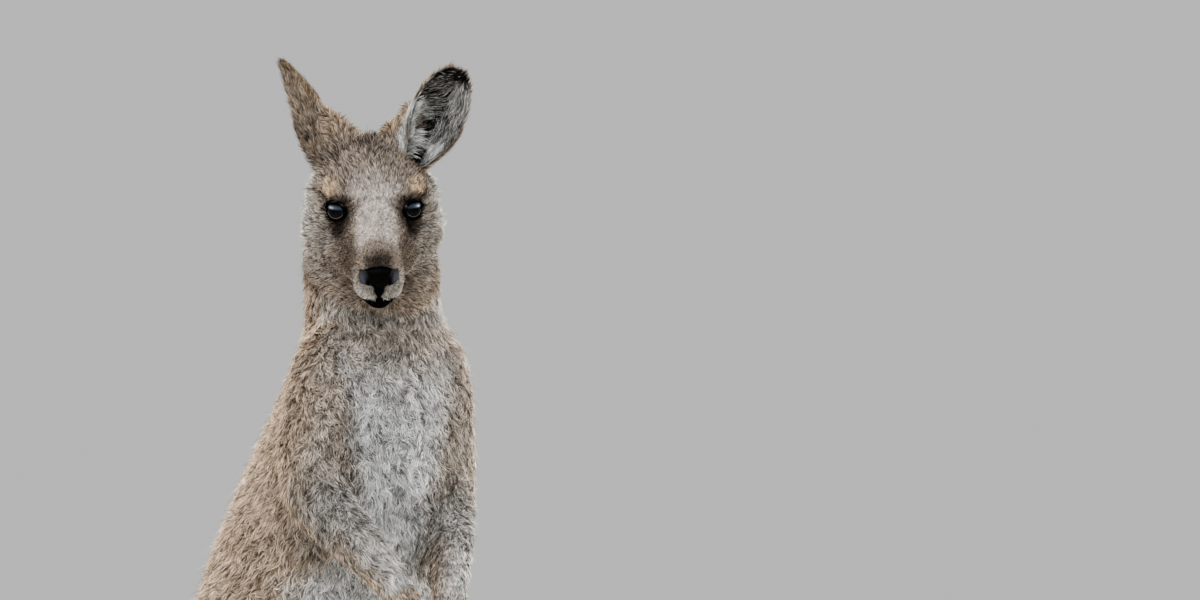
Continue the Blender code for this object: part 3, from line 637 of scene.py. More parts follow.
# %% Sizes of the mouth and the nose pad
MOUTH_FRONT, MOUTH_SLOPE = (7.4, -4.22), 0.09    # forward and up of the lips' line, and its rise
MOUTH_CORNER = 3.4
NOSE_AT, NOSE_RADII, NOSE_TILT = (0.0, 7.4, -2.3), (1.5, 0.9, 1.3), 12.0


def nose_width(rising):
    """The nose pad's share of its full width, from its foot at -1 to its top at 1."""
    return 1 - 0.74 * rise(-rising, 0.22, 1.0) - 0.50 * rise(rising, 0.30, 1.0)


def pushed(mask, height):
    """The skin moved out by a height in centimetres, where the mask is 1."""
    return skin + normal * (np.asarray(mask) * height * CM)[:, None]


print("the mouth's line starts", -MOUTH_FRONT[1], "cm below the eyes")

# %% Where the lips, the philtrum and the nose's bed are
SLIMMER_AT, SLIMMER_BY = (0.5, 2.0, 3.0, 4.0, 5.0), (0.0, 0.07, 0.07, 0.09, 0.08)    # below the eyes
SLIT_HALF = 0.09                                 # half height of the mouth's slit
slimmer = np.interp(-up, SLIMMER_AT, SLIMMER_BY) * rise(forward, 3.6, 5.8) * on_head
skin = skin - head_side * (side * slimmer * CM)[:, None]
side = side * (1 - slimmer)
mouth_line = MOUTH_FRONT[1] + (MOUTH_FRONT[0] - forward) * MOUTH_SLOPE
above_mouth = up - mouth_line - 0.25 * rise(MOUTH_CORNER + 1.2 - forward, 0, 1.6)
on_mouth = rise(forward, MOUTH_CORNER - 0.3, MOUTH_CORNER + 0.5) * on_head
slit = np.exp(-((above_mouth / SLIT_HALF) ** 2)) * on_mouth
lower_lip = rise(forward, 4.9, 5.7) * (1 - rise(abs(side), 1.8, 2.3)) * rise(-above_mouth, -0.05, 0.05)
lower_lip *= on_head * rise(up, -5.8, -5.4)
philtrum_half = 0.19 + 0.38 * rise(up, -4.2, -3.45)
philtrum = np.exp(-((side / philtrum_half) ** 2)) * rise(-up, 2.7, 3.1) * rise(forward, 6.4, 7.0)
philtrum *= (above_mouth > -0.1) & on_head
tall = (up - NOSE_AT[2]) / NOSE_RADII[2]
bed = tall * (1.0 + 0.12 * (tall < 0) + 0.3 * rise(tall, 0.2, 0.8))
bed = np.hypot(side / NOSE_RADII[0] / nose_width(tall), bed)
bed = (1 - rise(bed, 0.74, 0.95)) * rise(forward, 6.5, 7.0) * on_head
print("the slit of the mouth runs through", int((slit > 0.5).sum()), "points")

# %% Press and raise the skin
LIP_RISE, BROW_RISE, CHEEK_RISE = 0.14, 0.10, 0.10                 # all in centimetres
SLIT_DEPTH, PHILTRUM_DEPTH, MUZZLE_DEPTH = 0.22, 0.18, 0.10
BED_DEPTH = 0.55                  # of the nose's bed
CHIN_DROP, SADDLE_DROP = 0.38, 0.90                                # lower chin, lower ear saddle
skin = pushed(both("lip_pad", at), LIP_RISE)
skin = skin - head_up * (spot("chin", at) * on_head * CHIN_DROP * CM)[:, None]
skin = pushed(slit, -SLIT_DEPTH)
skin = skin - head_up * (spot("ear_saddle", at) * (owner == "head") * SADDLE_DROP * CM)[:, None]
skin = pushed(philtrum, -PHILTRUM_DEPTH)
skin = pushed(both("brow", at), BROW_RISE)
skin = pushed(both("muzzle_hollow", at), -MUZZLE_DEPTH)
skin = pushed(both("cheek", at), CHEEK_RISE)
skin = skin - head_forward * (bed * BED_DEPTH * CM)[:, None]
normal = normals_of(skin)
at = in_head(skin)
side, forward, up = at.T
print("mouth, brows and cheeks are shaped")

# %% Eye axes
EYE_RADIUS = 1.2
EYE_PLACE = (2.32, 0.60, 0.50)                 # middle of the left ball
EYE_LOOKS = (0.64, 0.76, 0.12)                 # the way that the left eye points
OPENING = (0.80, 0.52, 0.62)                   # half length, and heights above and below, along the ball
CORNER_DROP = 0.03                             # how much lower the inner corner is


def eye_axes(side):
    """Rearward along the lids, up across them, and out of the eye, in the head's axes."""
    looks = unit(np.array(EYE_LOOKS) * (side, 1, 1))
    back = np.array((side, 0, 0))
    back = unit(back - looks * (back @ looks))
    rising = np.cross(looks, back) * -side
    return np.array((back, rising if rising[2] > 0 else -rising, looks))


def round_eye(at, side):
    """Along and across the lids on the ball's surface, distance from its middle, and lid share.

    The lid share is 0 in the middle of the opening, and 1 on its edge.
    """
    local = (at - np.array(EYE_PLACE) * (side, 1, 1)) @ eye_axes(side).T
    away = np.linalg.norm(local, axis=1)
    angle = np.arccos(np.clip(local[:, 2] / away, -1, 1))
    flat = np.maximum(np.linalg.norm(local[:, :2], axis=1), 1e-9)
    along, across = (local[:, k] / flat * angle * EYE_RADIUS for k in (0, 1))
    level = across + CORNER_DROP * (1 - along / OPENING[0]) / 2
    height = np.where(level > 0, OPENING[1], OPENING[2])
    return along, level, away, np.hypot(along / OPENING[0], level / height)


print("an opening is", 2 * OPENING[0], "cm long")

# %% Draw the skin down on the eyes
EYE_REACH = 3.0                   # how far from a ball's middle the skin still belongs to the eye
LID_OVER = 0.10                   # how far the lids' skin lies over the ball
OPEN_SHARE = 1.12                 # up to this lid share, the skin in front of the ball is cut away
CREASE_AT, CREASE_WIDTH, CREASE_DEPTH = 1.65, 0.17, 0.06       # lid share, lid share, centimetres
ROLL_AT, ROLL_WIDTH, ROLL_RISE = 2.1, 0.25, 0.05               # the roll of skin above the crease
lid_share = np.full(len(skin), np.inf)
for sign in SIDES.values():
    along, level, away, share = round_eye(at, sign)
    near = (away < EYE_REACH) & on_head
    over = rise(level, 0.1, 0.5)
    held = 1 - rise(share, 1.3, 2.4)
    radius = away + (EYE_RADIUS + LID_OVER - away) * held
    crease_line = np.exp(-(((share - CREASE_AT) / CREASE_WIDTH) ** 2))
    roll_line = np.exp(-(((share - ROLL_AT) / ROLL_WIDTH) ** 2))
    radius -= CREASE_DEPTH * crease_line * (0.35 + 0.65 * over)
    radius += ROLL_RISE * roll_line * over
    centre = from_head([np.array(EYE_PLACE) * (sign, 1, 1)])[0]
    out = unit(skin - centre)
    moves = near & (share < 3.2)
    skin = np.where(moves[:, None], centre + out * (radius * CM)[:, None], skin)
    lid_share = np.where(near, np.minimum(lid_share, share), lid_share)
normal = normals_of(skin)
at = in_head(skin)
side, forward, up = at.T
opened = (lid_share[faces] < OPEN_SHARE).all(axis=1)
print(opened.sum(), "triangles are cut away in front of the eyes")

# %% Lids
LID_RINGS = (
    # share of the opening, and height over the ball, in centimetres
    (0.90, -0.05), (0.955, -0.01), (0.985, 0.02), (1.0, 0.06), (1.03, 0.10),
    (1.08, 0.125), (1.15, 0.13), (1.23, 0.12), (1.34, 0.105), (1.46, 0.08),
)
LID_STEPS = 96


def lid(side):
    """Points and triangles of one ring of lid, in the frame."""
    axes, centre = eye_axes(side), np.array(EYE_PLACE) * (side, 1, 1)
    rows = []
    for share, height in LID_RINGS:
        for k in range(LID_STEPS):
            u = 2 * math.pi * k / LID_STEPS
            along = math.cos(u) * OPENING[0] * share
            tall = OPENING[1] if math.sin(u) > 0 else OPENING[2]
            across = math.sin(u) * tall * share - CORNER_DROP * (1 - along / OPENING[0]) / 2
            far = math.hypot(along, across)
            angle = far / EYE_RADIUS
            flat = np.array((along, across)) / max(far, 1e-9) * math.sin(angle)
            direction = axes[0] * flat[0] + axes[1] * flat[1] + axes[2] * math.cos(angle)
            heavy = 0.03 * max(0.0, math.sin(u)) * (share > 0.99)
            rows.append(centre + direction * (EYE_RADIUS + height + heavy))
    quads = []
    for ring in range(len(LID_RINGS) - 1):
        for k in range(LID_STEPS):
            a, b = ring * LID_STEPS + k, ring * LID_STEPS + (k + 1) % LID_STEPS
            c, d = b + LID_STEPS, a + LID_STEPS
            quads += [(a, b, c), (a, c, d)] if side > 0 else [(a, c, b), (a, d, c)]
    return from_head(rows), np.array(quads)


lids = {word: lid(sign) for word, sign in SIDES.items()}
for word, (points, ring) in lids.items():
    corners = points[ring]
    areas = np.cross(corners[:, 1] - corners[:, 0], corners[:, 2] - corners[:, 0])
    if (areas * (corners[:, 0] - eye_at[word])).sum() < 0:
        lids[word] = (points, ring[:, ::-1])
print("each lid has", len(LID_RINGS) * LID_STEPS, "points")

# %% [markdown]
# ## Markings
#
# A grey kangaroo is grey-brown above and pale below, with a dark tail tip, hands and
# feet, dark stripes beside the muzzle, and white behind the eyes and at the ears. Painted
# shade is laid the same way: darker in hollows of the skin, where the arm meets the body
# and under the cheeks, and on the muzzle's shaded sides, which deepens its stripes. Each
# marking is one soft mask, worked out once for the points of the skin. Skin and tufts
# both carry the masks, so a tuft has the colour of the skin that it grows from.

# %% Parts of the body as soft masks
settled = unit(relaxed(normal, 12))
drift = wander(skin, 0.035, 11)
small_drift = wander(skin, 0.012, 12)


def on(*kinds):
    """1 on these parts and 0 elsewhere, with a soft border."""
    return relaxed(np.array([kind_of(name) in kinds for name in owner], float), 12)


trunk = on("neck", "chest", "abdomen")
on_arm = on("upper_arm")
ear = on("ear")
facing = settled @ (0.30, -0.95, 0.0) + 0.16 * drift + 0.05 * small_drift     # towards the front
back = rise(settled[:, 1] + 0.10 * drift, 0.35, 0.95) * (owner != "tail_tip")
neck_fade = rise(neck_root[2] - skin[:, 2], -0.02, 0.06)      # the pale chest ends below the neck
neck_only = rise(skin[:, 2], neck_root[2] - 0.02, neck_root[2] + 0.03)
throat = on("neck", "lower_jaw") * rise(facing, -0.4, 0.2)
throat *= rise(skin[:, 2], neck_root[2] - 0.01, neck_root[2] + 0.03)
# painted shade: the coat is darker where the skin is hollow, as shade gathers in creases
hollow = ((relaxed(skin, 40) - skin) * normal).sum(axis=1) / MM
hollow_shade = rise(relaxed(hollow, 4), 0.4, 2.6) * (1 - on("head", "lower_jaw", "ear"))
# painted shade along the border where the arm meets the body, on its front
arm_seam_shade = 4 * on_arm * (1 - on_arm) * rise(-settled[:, 1], -0.1, 0.5)
print("creases cover", round(float(hollow_shade.mean()), 3), "of the points")

# %% Inside, height and breadth of the ears
EAR_FOLD = 1.75                   # radius, in centimetres, of the fold at an ear's foot
BOWL_MIDDLE = 1.7                 # how far the middle of the bowl lies in front of the ear's line
ear_bowl, ear_height, ear_across = (np.zeros(len(skin)) for _ in range(3))
for word, (base, tip, opening) in EARS.items():
    axis = np.array(tip) - np.array(base)
    reach = (at - np.array(base)) @ axis / (axis @ axis)
    face = np.array(opening) - axis * (np.array(opening) @ axis) / (axis @ axis)
    outward = unit(np.cross(axis, face)) * -SIDES[word]
    line = np.array(base) + axis * reach[:, None] + unit(face) * BOWL_MIDDLE
    in_fold = (np.linalg.norm(at - line, axis=1) < EAR_FOLD) & (reach > 0) & (owner == "head")
    mine = (owner == "ear_" + word) | in_fold
    bowl = ((normal @ head_axes.T) * unit(line - at)).sum(axis=1)
    ear_bowl = np.where(mine, rise(bowl, 0.0, 0.35), ear_bowl)
    ear_height = np.where(mine, reach, ear_height)
    ear_across = np.where(mine, (at - np.array(base)) @ outward, ear_across)
    combed = (ear_bowl * mine * rise(-ear_across, -1.2, 0.8))[:, None]
    lie += ((outward * 0.9) @ head_axes - lie * 0.3) * combed
ear_bowl = np.maximum(ear_bowl, spot("ear_mouth", at) * (owner == "ear_left"))
ear_bowl = relaxed(ear_bowl, 2)
print("the ears' insides hold", int((ear_bowl > 0.5).sum()), "points")

# %% White, grey and dark hair of the ears
edge = np.clip(4 * ear_bowl * (1 - ear_bowl), 0, 1) * ear
inner_margin = rise(-ear_across, 0.20, 0.80) * rise(0.64 - ear_height, 0.0, 0.2)
lower_margin = rise(0.30 - ear_height, 0.0, 0.15) * rise(ear_across, 0.3, 1.1)
outer_margin = rise(ear_across, 0.3, 1.0)
ear_margin = np.maximum(inner_margin, lower_margin)
grey_hairs = 0.03 + 0.26 * rise(ear_height, 0.35, 0.65) + 0.34 * rise(ear_across, 0.2, 1.2)
grey_hairs = np.clip(grey_hairs * (1 - 0.9 * rise(ear_height, 0.74, 0.92)), 0, 1)
in_ear = ear_bowl * np.maximum(grey_hairs, 0.95 * ear_margin)
ear_back = ear * (1 - ear_bowl) * (1 - 0.8 * edge * np.maximum(ear_margin, outer_margin))
ear_tip_edge = edge * rise(ear_height, 0.52, 0.75) * rise(-ear_across, -0.6, 0.6)
print("white covers", round(float((in_ear * ear).sum() / ear.sum()), 2), "of the ears")

# %% Ends of the hands, feet, arms and tail
TAIL_FADE = (-0.08, 0.06)         # metres before and after the middle of the tail's tip
hand_end, arm_end = np.zeros(len(skin)), np.zeros(len(skin))


def along_limb(start, end):
    """0 at a limb's start and 1 at its end, for each point of the skin."""
    axis = end - start
    return (skin - start) @ axis / (axis @ axis)


for word in SIDES:
    shoulder, elbow = seam("upper_arm_" + word, "chest"), seam("upper_arm_" + word, "forearm_" + word)
    wrist, fingers = seam("forearm_" + word, "hand_" + word), middle("claw_third_finger_" + word)
    ankle, toe = seam("shank_" + word, "foot_" + word), middle("claw_fourth_toe_" + word)
    hand_end = np.where(owner == "hand_" + word, rise(along_limb(wrist, fingers), -0.1, 0.6), hand_end)
    hand_end = np.where(owner == "foot_" + word, rise(along_limb(ankle, toe), 0.2, 0.95), hand_end)
    arm_end = np.where(owner == "upper_arm_" + word, rise(along_limb(shoulder, elbow), 0.15, 0.75), arm_end)
tail_end = rise(skin[:, 1] - middle("tail_tip")[1], *TAIL_FADE)
grey_arm = np.maximum(relaxed(arm_end, 12), 0.6 * on("forearm"))
grey_arm *= rise(-settled[:, 1] + 0.2 * drift, -0.4, 0.3)
pale_arm = on("forearm") * 0.55 + on("upper_arm") * 0.2
pale_arm *= rise(facing + 0.2 * abs(settled[:, 0]), 0.2, 0.9)
print("the tail darkens over", round((TAIL_FADE[1] - TAIL_FADE[0]) * 100), "cm")

# %% Black round the eyes and on the lips
eye_front, lash_line = np.zeros(len(skin)), np.zeros(len(skin))
for sign in SIDES.values():
    along, level, away, share = round_eye(at, sign)
    patch = 1 - rise(np.hypot((along + 0.10) / 1.45, (level + 0.95) / 0.85), 0.4, 1.0)
    patch *= 1 - rise(away, 1.9, 2.6)
    rim = (1 - rise(share, 1.5, 2.05)) * (0.80 + 0.20 * rise(-level, -0.3, 0.3))
    band = np.exp(-(((level - 0.66) / 0.26) ** 2)) * (1 - rise(abs(along - 0.50), 1.2, 1.8))
    near = (away < EYE_REACH) * on_head
    eye_front = np.maximum(eye_front, np.maximum(patch, rim) * near)
    lash_line = np.maximum(lash_line, np.maximum(band, 0.55 * patch) * near)
lip_black = np.exp(-((above_mouth / 0.11) ** 2)) * on_mouth * rise(forward, 4.0, 5.4)
lip_black = np.maximum.reduce([lip_black, lower_lip, spot("mouth_middle", at)])
bare = np.maximum.reduce([1 - rise(lid_share, 1.28, 1.55), lip_black, rise(philtrum, 0.35, 0.7)])
lips = np.maximum(both("lip", at), both("nostril_side", at)) * (above_mouth > 0)
print("bare black skin has", int((bare > 0.5).sum()), "points")

# %% Bridge, stripes, crest and the white before the ear
STRIPE_FROM, STRIPE_TO = 0.5, 1.8                   # beside the bridge, in centimetres
EAR_FRONT_FOOT = (2.4, -3.0, 3.4)                   # a line up the front of the left ear
EAR_FRONT_RISE = (0.9, -1.9, 3.6)
column = 2.15 - 0.60 * rise(forward, 0.6, 3.4)      # half width of the pale bridge of the nose
beside = abs(side) - column
# the dark stripe beside the muzzle, partly a marking and partly painted shade on the muzzle's sides
stripe_and_shade = rise(beside, -0.35, 0.35) * (1 - rise(beside, STRIPE_FROM, STRIPE_TO))
stripe_and_shade *= rise(forward, 0.9, 2.4) * (1 - rise(forward, 6.8, 7.4)) * rise(up, -4.4, -3.0)
stripe_and_shade *= (1 - 0.6 * rise(up, -1.4, 0.2) - 0.4 * rise(up, 0.4, 1.0)) * on_head
bridge = (1 - rise(beside, -0.45, 0.25)) * rise(forward, -0.2, 1.8) * rise(up, -2.2, -1.2)
bridge *= (1 - rise(forward, 5.8, 6.6)) * on_head
crest = spot("crest", at) * on_head
ear_root = both("ear_root", at) * on_head
up_the_ear = np.interp(up, (3.4, 7.0), (0, 1))[:, None]
ear_front = np.linalg.norm(at - up_the_ear * EAR_FRONT_RISE - EAR_FRONT_FOOT, axis=1)
ear_front = (1 - rise(ear_front, 0.30, 0.65)) * (side > 0) * rise(up, 3.2, 3.9) * (1 - rise(up, 6.4, 7.0))
print("the bridge is", round(float(2 * column.min()), 2), "cm wide at its narrow end")

# %% [markdown]
# The masks are now put together. Within a list the strongest wins, and a number before
# a mask says how much of its colour shows there.

# %% The masks of the markings
MASKS = {
    "body": [rise(-up, 5.0, 8.5) * (1 - ear)],
    "grey": [
        grey_arm,
        0.55 * both("grey_cheek", at) * on_head,
        0.90 * on("neck") * rise(facing, -0.2, 0.4) * neck_only,
        0.90 * on("lower_jaw"),
        lips,
    ],
    "pale": [
        trunk * rise(facing, 0.20, 0.62) * neck_fade,
        0.28 * throat,
        pale_arm,
        0.65 * ear_back * rise(-ear_across, 0.9, 1.6),
    ],
    "white": [
        0.12 * lips,
        0.90 * ear_front,
        both("behind_eye", at),
        0.62 * both("cheek_edge", at),
        in_ear,
        edge * np.maximum(0.40 + 0.5 * outer_margin, 0.9 * ear_margin),
        lower_margin * rise(ear_bowl, 0.02, 0.25),
    ],
    "bridge": [0.90 * bridge],
    "tan": [
        both("tan_brow", at),
        0.70 * ear_back * (1 - ear_front),
        0.45 * ear_root**0.6 * (1 - ear_front),
    ],
    "dark": [
        # muzzle stripes, with painted shade on the muzzle's sides
        0.72 * stripe_and_shade,
        0.92 * eye_front,
        # painted shade under the cheeks
        0.30 * both("under_cheek", at),
        0.92 * crest,
        (0.60 + 0.06 * small_drift) * ear_back * (1 - ear_front),
        0.22 * ear_root,
        # painted shade in the hollows of the skin
        0.55 * hollow_shade,
        0.48 * back * (1 - ear),
        # painted shade where the arm meets the body
        0.60 * arm_seam_shade * (0.6 + 0.5 * small_drift),
        (0.26 + 0.14 * small_drift) * on_arm * (0.45 + 0.55 * rise(arm_end, 0.1, 0.7)),
        spot("over_nose", at),
        0.90 * hand_end,
        0.90 * tail_end,
        0.80 * ear_tip_edge,
    ],
    "black": [bare, lash_line, 0.85 * spot("nose_top", at), 0.97 * ear_bowl * (1 - edge)],
}
masks = {
    name: np.clip(relaxed(np.maximum.reduce(layers), 1), 0, 1) for name, layers in MASKS.items()
}
print({name: round(float(values.mean()), 3) for name, values in masks.items()})

# %% [markdown]
# ## Finishes of skin and coat
#
# The colour of fur comes from the masks, mixed one over the other, and from two noises
# that read the place of the root, so a tuft is one colour with its skin. Along a tuft
# the root is darker and the tip lighter, partly for the darker underfur and partly as
# painted shade deep in the coat, and some tufts end dark and others pale, which gives a
# grey kangaroo its peppered look. The skin is painted darker than its tufts, as the
# shade under the coat. Bare black skin is a little smoother.

# %% Colours and the finish that skin and tufts share
BASE_TINT = (0.225, 0.175, 0.140)
TINTS = {
    # each is laid over those before it
    "body": (0.55, 0.425, 0.32),
    "grey": (0.44, 0.42, 0.395),
    "pale": (0.96, 0.98, 1.0),
    "bridge": (0.62, 0.54, 0.49),
    "tan": (0.70, 0.48, 0.28),
    "white": (0.93, 0.95, 0.94),
    "dark": (0.034, 0.025, 0.020),
    "black": (0.003, 0.003, 0.003),
}
PALE_TIP = (0.80, 0.74, 0.64)     # of single hairs with light ends
PATCH_SCALE, SPECK_SCALE, NAP_SCALE = 42.0, 190.0, 900.0


def fur_finish(name, **constants):
    """A finish whose colour is that of the markings at a tuft's root."""
    finish = Finish(name, **constants)
    root = finish.read("root", "Vector")
    patchy = finish.noise(root, PATCH_SCALE, 3.0).step(0.3, 0.7)
    speckled = finish.noise(root, SPECK_SCALE, 2.0).step(0.3, 0.7)
    colour = BASE_TINT
    for mask, tint in TINTS.items():
        colour = finish.mix(finish.read(mask), colour, tint)
    return finish, colour, patchy, speckled


print("the coat has", len(TINTS) + 1, "colours")

# %% The finish of the tufts
coat_finish, colour, patchy, speckled = fur_finish("fur", Roughness=0.72, Specular_IOR_Level=0.0)
along, luck, clump = (coat_finish.read(name) for name in ("along", "luck", "clump"))
dark = coat_finish.read("dark")
# darker towards the root: partly the darker underfur, partly painted shade deep in the coat
shade = 0.16 + along.step(0.0, 0.7) * 0.84
shade = shade * (0.24 + clump * 1.06 + luck * 0.42) * (0.66 + patchy * 0.30 + speckled * 0.34)
peppered = (1.0 - luck).step(0.62, 0.74) * along.step(0.2, 0.5) * 0.74
shade = shade * (1.0 - peppered)
tipped = luck.step(0.62, 0.88) * along.step(0.3, 0.9) * (0.50 - dark * 0.46)
tipped = tipped * (1.0 - coat_finish.read("black"))
coat_finish.give("Base Color", coat_finish.mix(tipped, colour.scaled(shade), PALE_TIP))
print("a tuft's finish has", len(coat_finish.tree.nodes), "nodes")

# %% The finish of the skin
skin_finish, colour, patchy, speckled = fur_finish("skin", Specular_IOR_Level=0.0)
black = skin_finish.read("black")
nap = skin_finish.noise(skin_finish.read("root", "Vector"), NAP_SCALE, 3.0, 0.7)
# painted shade: the skin is the markings at about half brightness, as the shadow under the coat
skin_finish.give("Base Color", colour.scaled(0.52 + patchy * 0.10 + nap * 0.16))
skin_finish.give("Roughness", 0.88 - black * 0.42 + nap * 0.08)
skin_finish.give("Normal", skin_finish.bump(nap, 0.6 * MM, 0.7))
print("the skin's finish has", len(skin_finish.tree.nodes), "nodes")

# %% Write the skin's mesh
def object_of(name, points, polygons, finish):
    mesh = bpy.data.meshes.new(name)
    mesh.from_pydata(points, [], polygons)
    mesh.materials.append(finish.material)
    mesh.shade_smooth()
    made = bpy.data.objects.new(name, mesh)
    bpy.context.scene.collection.objects.link(made)
    return made


def hold(mesh, name, values, kind="FLOAT"):
    """Stores one value, or one vector, for each point of a mesh."""
    layer = mesh.attributes.new(name, kind, "POINT")
    field = "value" if kind == "FLOAT" else "vector"
    layer.data.foreach_set(field, np.ascontiguousarray(values, np.float32).ravel())


def skin_piece():
    """The skin with its lids, without the faces in front of the eyes."""
    used, numbers = np.unique(faces[~opened], return_inverse=True)
    parts, rings, start = [skin[used]], [numbers.reshape(-1, 3)], len(used)
    for points, ring in lids.values():
        parts.append(points)
        rings.append(ring + start)
        start += len(points)
    points = np.concatenate(parts)
    made = object_of("skin", points, np.concatenate(rings).tolist(), skin_finish)
    extra = start - len(used)
    hold(made.data, "root", points, "FLOAT_VECTOR")
    ring, step = np.divmod(np.arange(extra) % (len(LID_RINGS) * LID_STEPS), LID_STEPS)
    # painted highlight: a pale line on the wet edge of the lower lid, where it would glint
    painted_wet_glint = np.isin(ring, (1, 2)) * rise(-np.sin(step / LID_STEPS * 2 * math.pi), 0.1, 0.6)
    for name, values in masks.items():
        rim = {"black": 1 - 0.28 * painted_wet_glint, "white": painted_wet_glint}.get(name, np.zeros(extra))
        hold(made.data, name, np.concatenate([values[used], rim]))
    return made


skin_object = skin_piece()
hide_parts(*flesh)
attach(skin_object, "root")
print("the skin has", len(skin_object.data.polygons), "triangles")

# %% [markdown]
# ## Eyes, nose and claws
#
# These stay bare and separate. An eye is a ball with a slightly raised clear front,
# dark brown with a wide black pupil, and wet. Its upper part carries a painted
# reflection: a pale haze and a painted highlight, standing for the open sky that a wet
# eye reflects out of doors. The nose is a leathery pad that narrows to its foot, with
# two comma-shaped nostrils that open to the sides, and a painted bluish sheen on the
# soft lobes outside them. Both are closed round forms, drawn by one function from an
# angle off the axis and an angle round it.

# %% A closed round form
def round_form(name, rings, columns, shape, finish):
    """A closed form: shape(off, around) gives a point for an angle off the axis and one round it."""
    points = [shape(0.0, 0.0)]
    for i in range(1, rings):
        for k in range(columns):
            points.append(shape(math.pi * i / rings, 2 * math.pi * k / columns))
    points.append(shape(math.pi, 0.0))
    last = len(points) - 1
    polygons = []
    for k in range(columns):
        after = (k + 1) % columns
        polygons.append((0, 1 + k, 1 + after))
        polygons.append((last, last - columns + after, last - columns + k))
        for i in range(rings - 2):
            a, b = 1 + i * columns + k, 1 + i * columns + after
            polygons.append((a, a + columns, b + columns, b))
    made = object_of(name, from_head(points), polygons, finish)
    shape_faces = bmesh.new()
    shape_faces.from_mesh(made.data)
    bmesh.ops.recalc_face_normals(shape_faces, faces=shape_faces.faces)
    shape_faces.to_mesh(made.data)
    shape_faces.free()
    return made


print("round forms are ready")

# %% The eyes
PUPIL, IRIS = 0.42, 0.80          # angles off the eye's axis, in radians
CORNEA = 0.03                     # how much the clear front is raised, as a share of the radius
# painted reflection: strength of the painted sky haze on the upper ball, and of the painted highlight in it
PAINTED_SKY_HAZE, PAINTED_HIGHLIGHT = 0.7, 0.5            # strength of the sky's haze and of its bright spot
eye_finish = Finish("wet_eye", Roughness=0.05, IOR=1.14)
gaze = eye_finish.read("gaze")
streaks = eye_finish.noise(eye_finish.node("TexCoord", out="Object"), 700.0, 3.0)
iris = eye_finish.mix(streaks, (0.0012, 0.0008, 0.0006), (0.0045, 0.0026, 0.0018))
iris = eye_finish.mix(gaze.step(PUPIL, PUPIL + 0.05), (0.0005, 0.0005, 0.0007), iris)
iris = eye_finish.mix(gaze.step(IRIS - 0.1, IRIS), iris, (0.001, 0.001, 0.001))
# painted reflection of the sky in a pale blue, then a near-white painted highlight
iris = eye_finish.mix(eye_finish.read("haze"), iris, (0.070, 0.10, 0.155))
eye_finish.give("Base Color", eye_finish.mix(eye_finish.read("shine"), iris, (0.75, 0.85, 0.95)))

for word, sign in SIDES.items():
    axes, centre = eye_axes(sign), np.array(EYE_PLACE) * (sign, 1, 1)

    def ball(off, around):
        radius = EYE_RADIUS * (1 + CORNEA * (1 - rise(off, 0.2, IRIS)))
        flat = math.sin(off) * math.cos(around), math.sin(off) * math.sin(around)
        return centre + radius * (axes[0] * flat[0] + axes[1] * flat[1] + axes[2] * math.cos(off))

    eye = round_form("eyeball_" + word, 48, 64, ball, eye_finish)
    local = unit(in_head(points_of(eye)) - centre)
    hold(eye.data, "gaze", np.arccos(np.clip(local @ axes[2], -1, 1)))
    level = local @ axes[1]
    across = local @ axes[0]
    # where the painted sky reflection and its painted highlight lie on the upper ball
    hold(eye.data, "haze", PAINTED_SKY_HAZE * rise(level, 0.02, 0.16) * (1 - rise(level, 0.24, 0.40)))
    highlight_spot = np.exp(-(((level - 0.17) / 0.055) ** 2) - ((across - 0.18) / 0.17) ** 2)
    hold(eye.data, "shine", PAINTED_HIGHLIGHT * highlight_spot)
    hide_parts("eye_" + word)
    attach(eye, "root")

print("the eyes are", 2 * EYE_RADIUS, "cm across")

# %% The shape of the nose pad
NOSTRIL = [(0.84, 0.40), (0.74, 0.26), (0.64, 0.06), (0.58, -0.16), (0.52, -0.36), (0.44, -0.52)]
NOSTRIL_STEPS, NOSTRIL_DEPTH = 8, 0.46
WING, WING_RADIUS, WING_HEIGHT = (0.80, -0.16), 0.24, 0.20     # the soft lobe outside each nostril
CLEFT_HALF, CLEFT_DEPTH = 0.05, 0.08                           # the split below the pad's middle
FLATTER_TOP = 0.30


def arc_points(rows, steps):
    """Points along a broken line, a number of them on each stretch."""
    rows, share = np.array(rows), (np.arange(steps) / steps)[:, None]
    return np.concatenate([first + (last - first) * share for first, last in zip(rows, rows[1:])])


comma = arc_points(NOSTRIL, NOSTRIL_STEPS)


def pad(off, around):
    across, rising = math.sin(off) * math.cos(around), math.sin(off) * math.sin(around)
    out = math.cos(off)
    lean = math.radians(NOSE_TILT)
    near = np.linalg.norm(comma - (abs(across), rising), axis=1).min()
    if out > -0.2:
        broad = 0.075 + 0.055 * rise(rising, -0.3, 0.4)
        wing = math.hypot(abs(across) - WING[0], rising - WING[1]) / WING_RADIUS
        out -= NOSTRIL_DEPTH * math.exp(-((near / broad) ** 2))
        out += WING_HEIGHT * math.exp(-(wing**2))
        out -= CLEFT_DEPTH * math.exp(-((across / CLEFT_HALF) ** 2)) * rise(-rising, -0.1, 0.5)
    squat = 1 - FLATTER_TOP * rise(rising, 0.2, 1.0)
    x, y, z = across * nose_width(rising), out, rising * squat
    x, y, z = x * NOSE_RADII[0], y * NOSE_RADII[1], z * NOSE_RADII[2]
    forward = y * math.cos(lean) + z * math.sin(lean)
    return np.array(NOSE_AT) + (x, forward, z * math.cos(lean) - y * math.sin(lean))


print("a nostril follows", len(comma), "points")

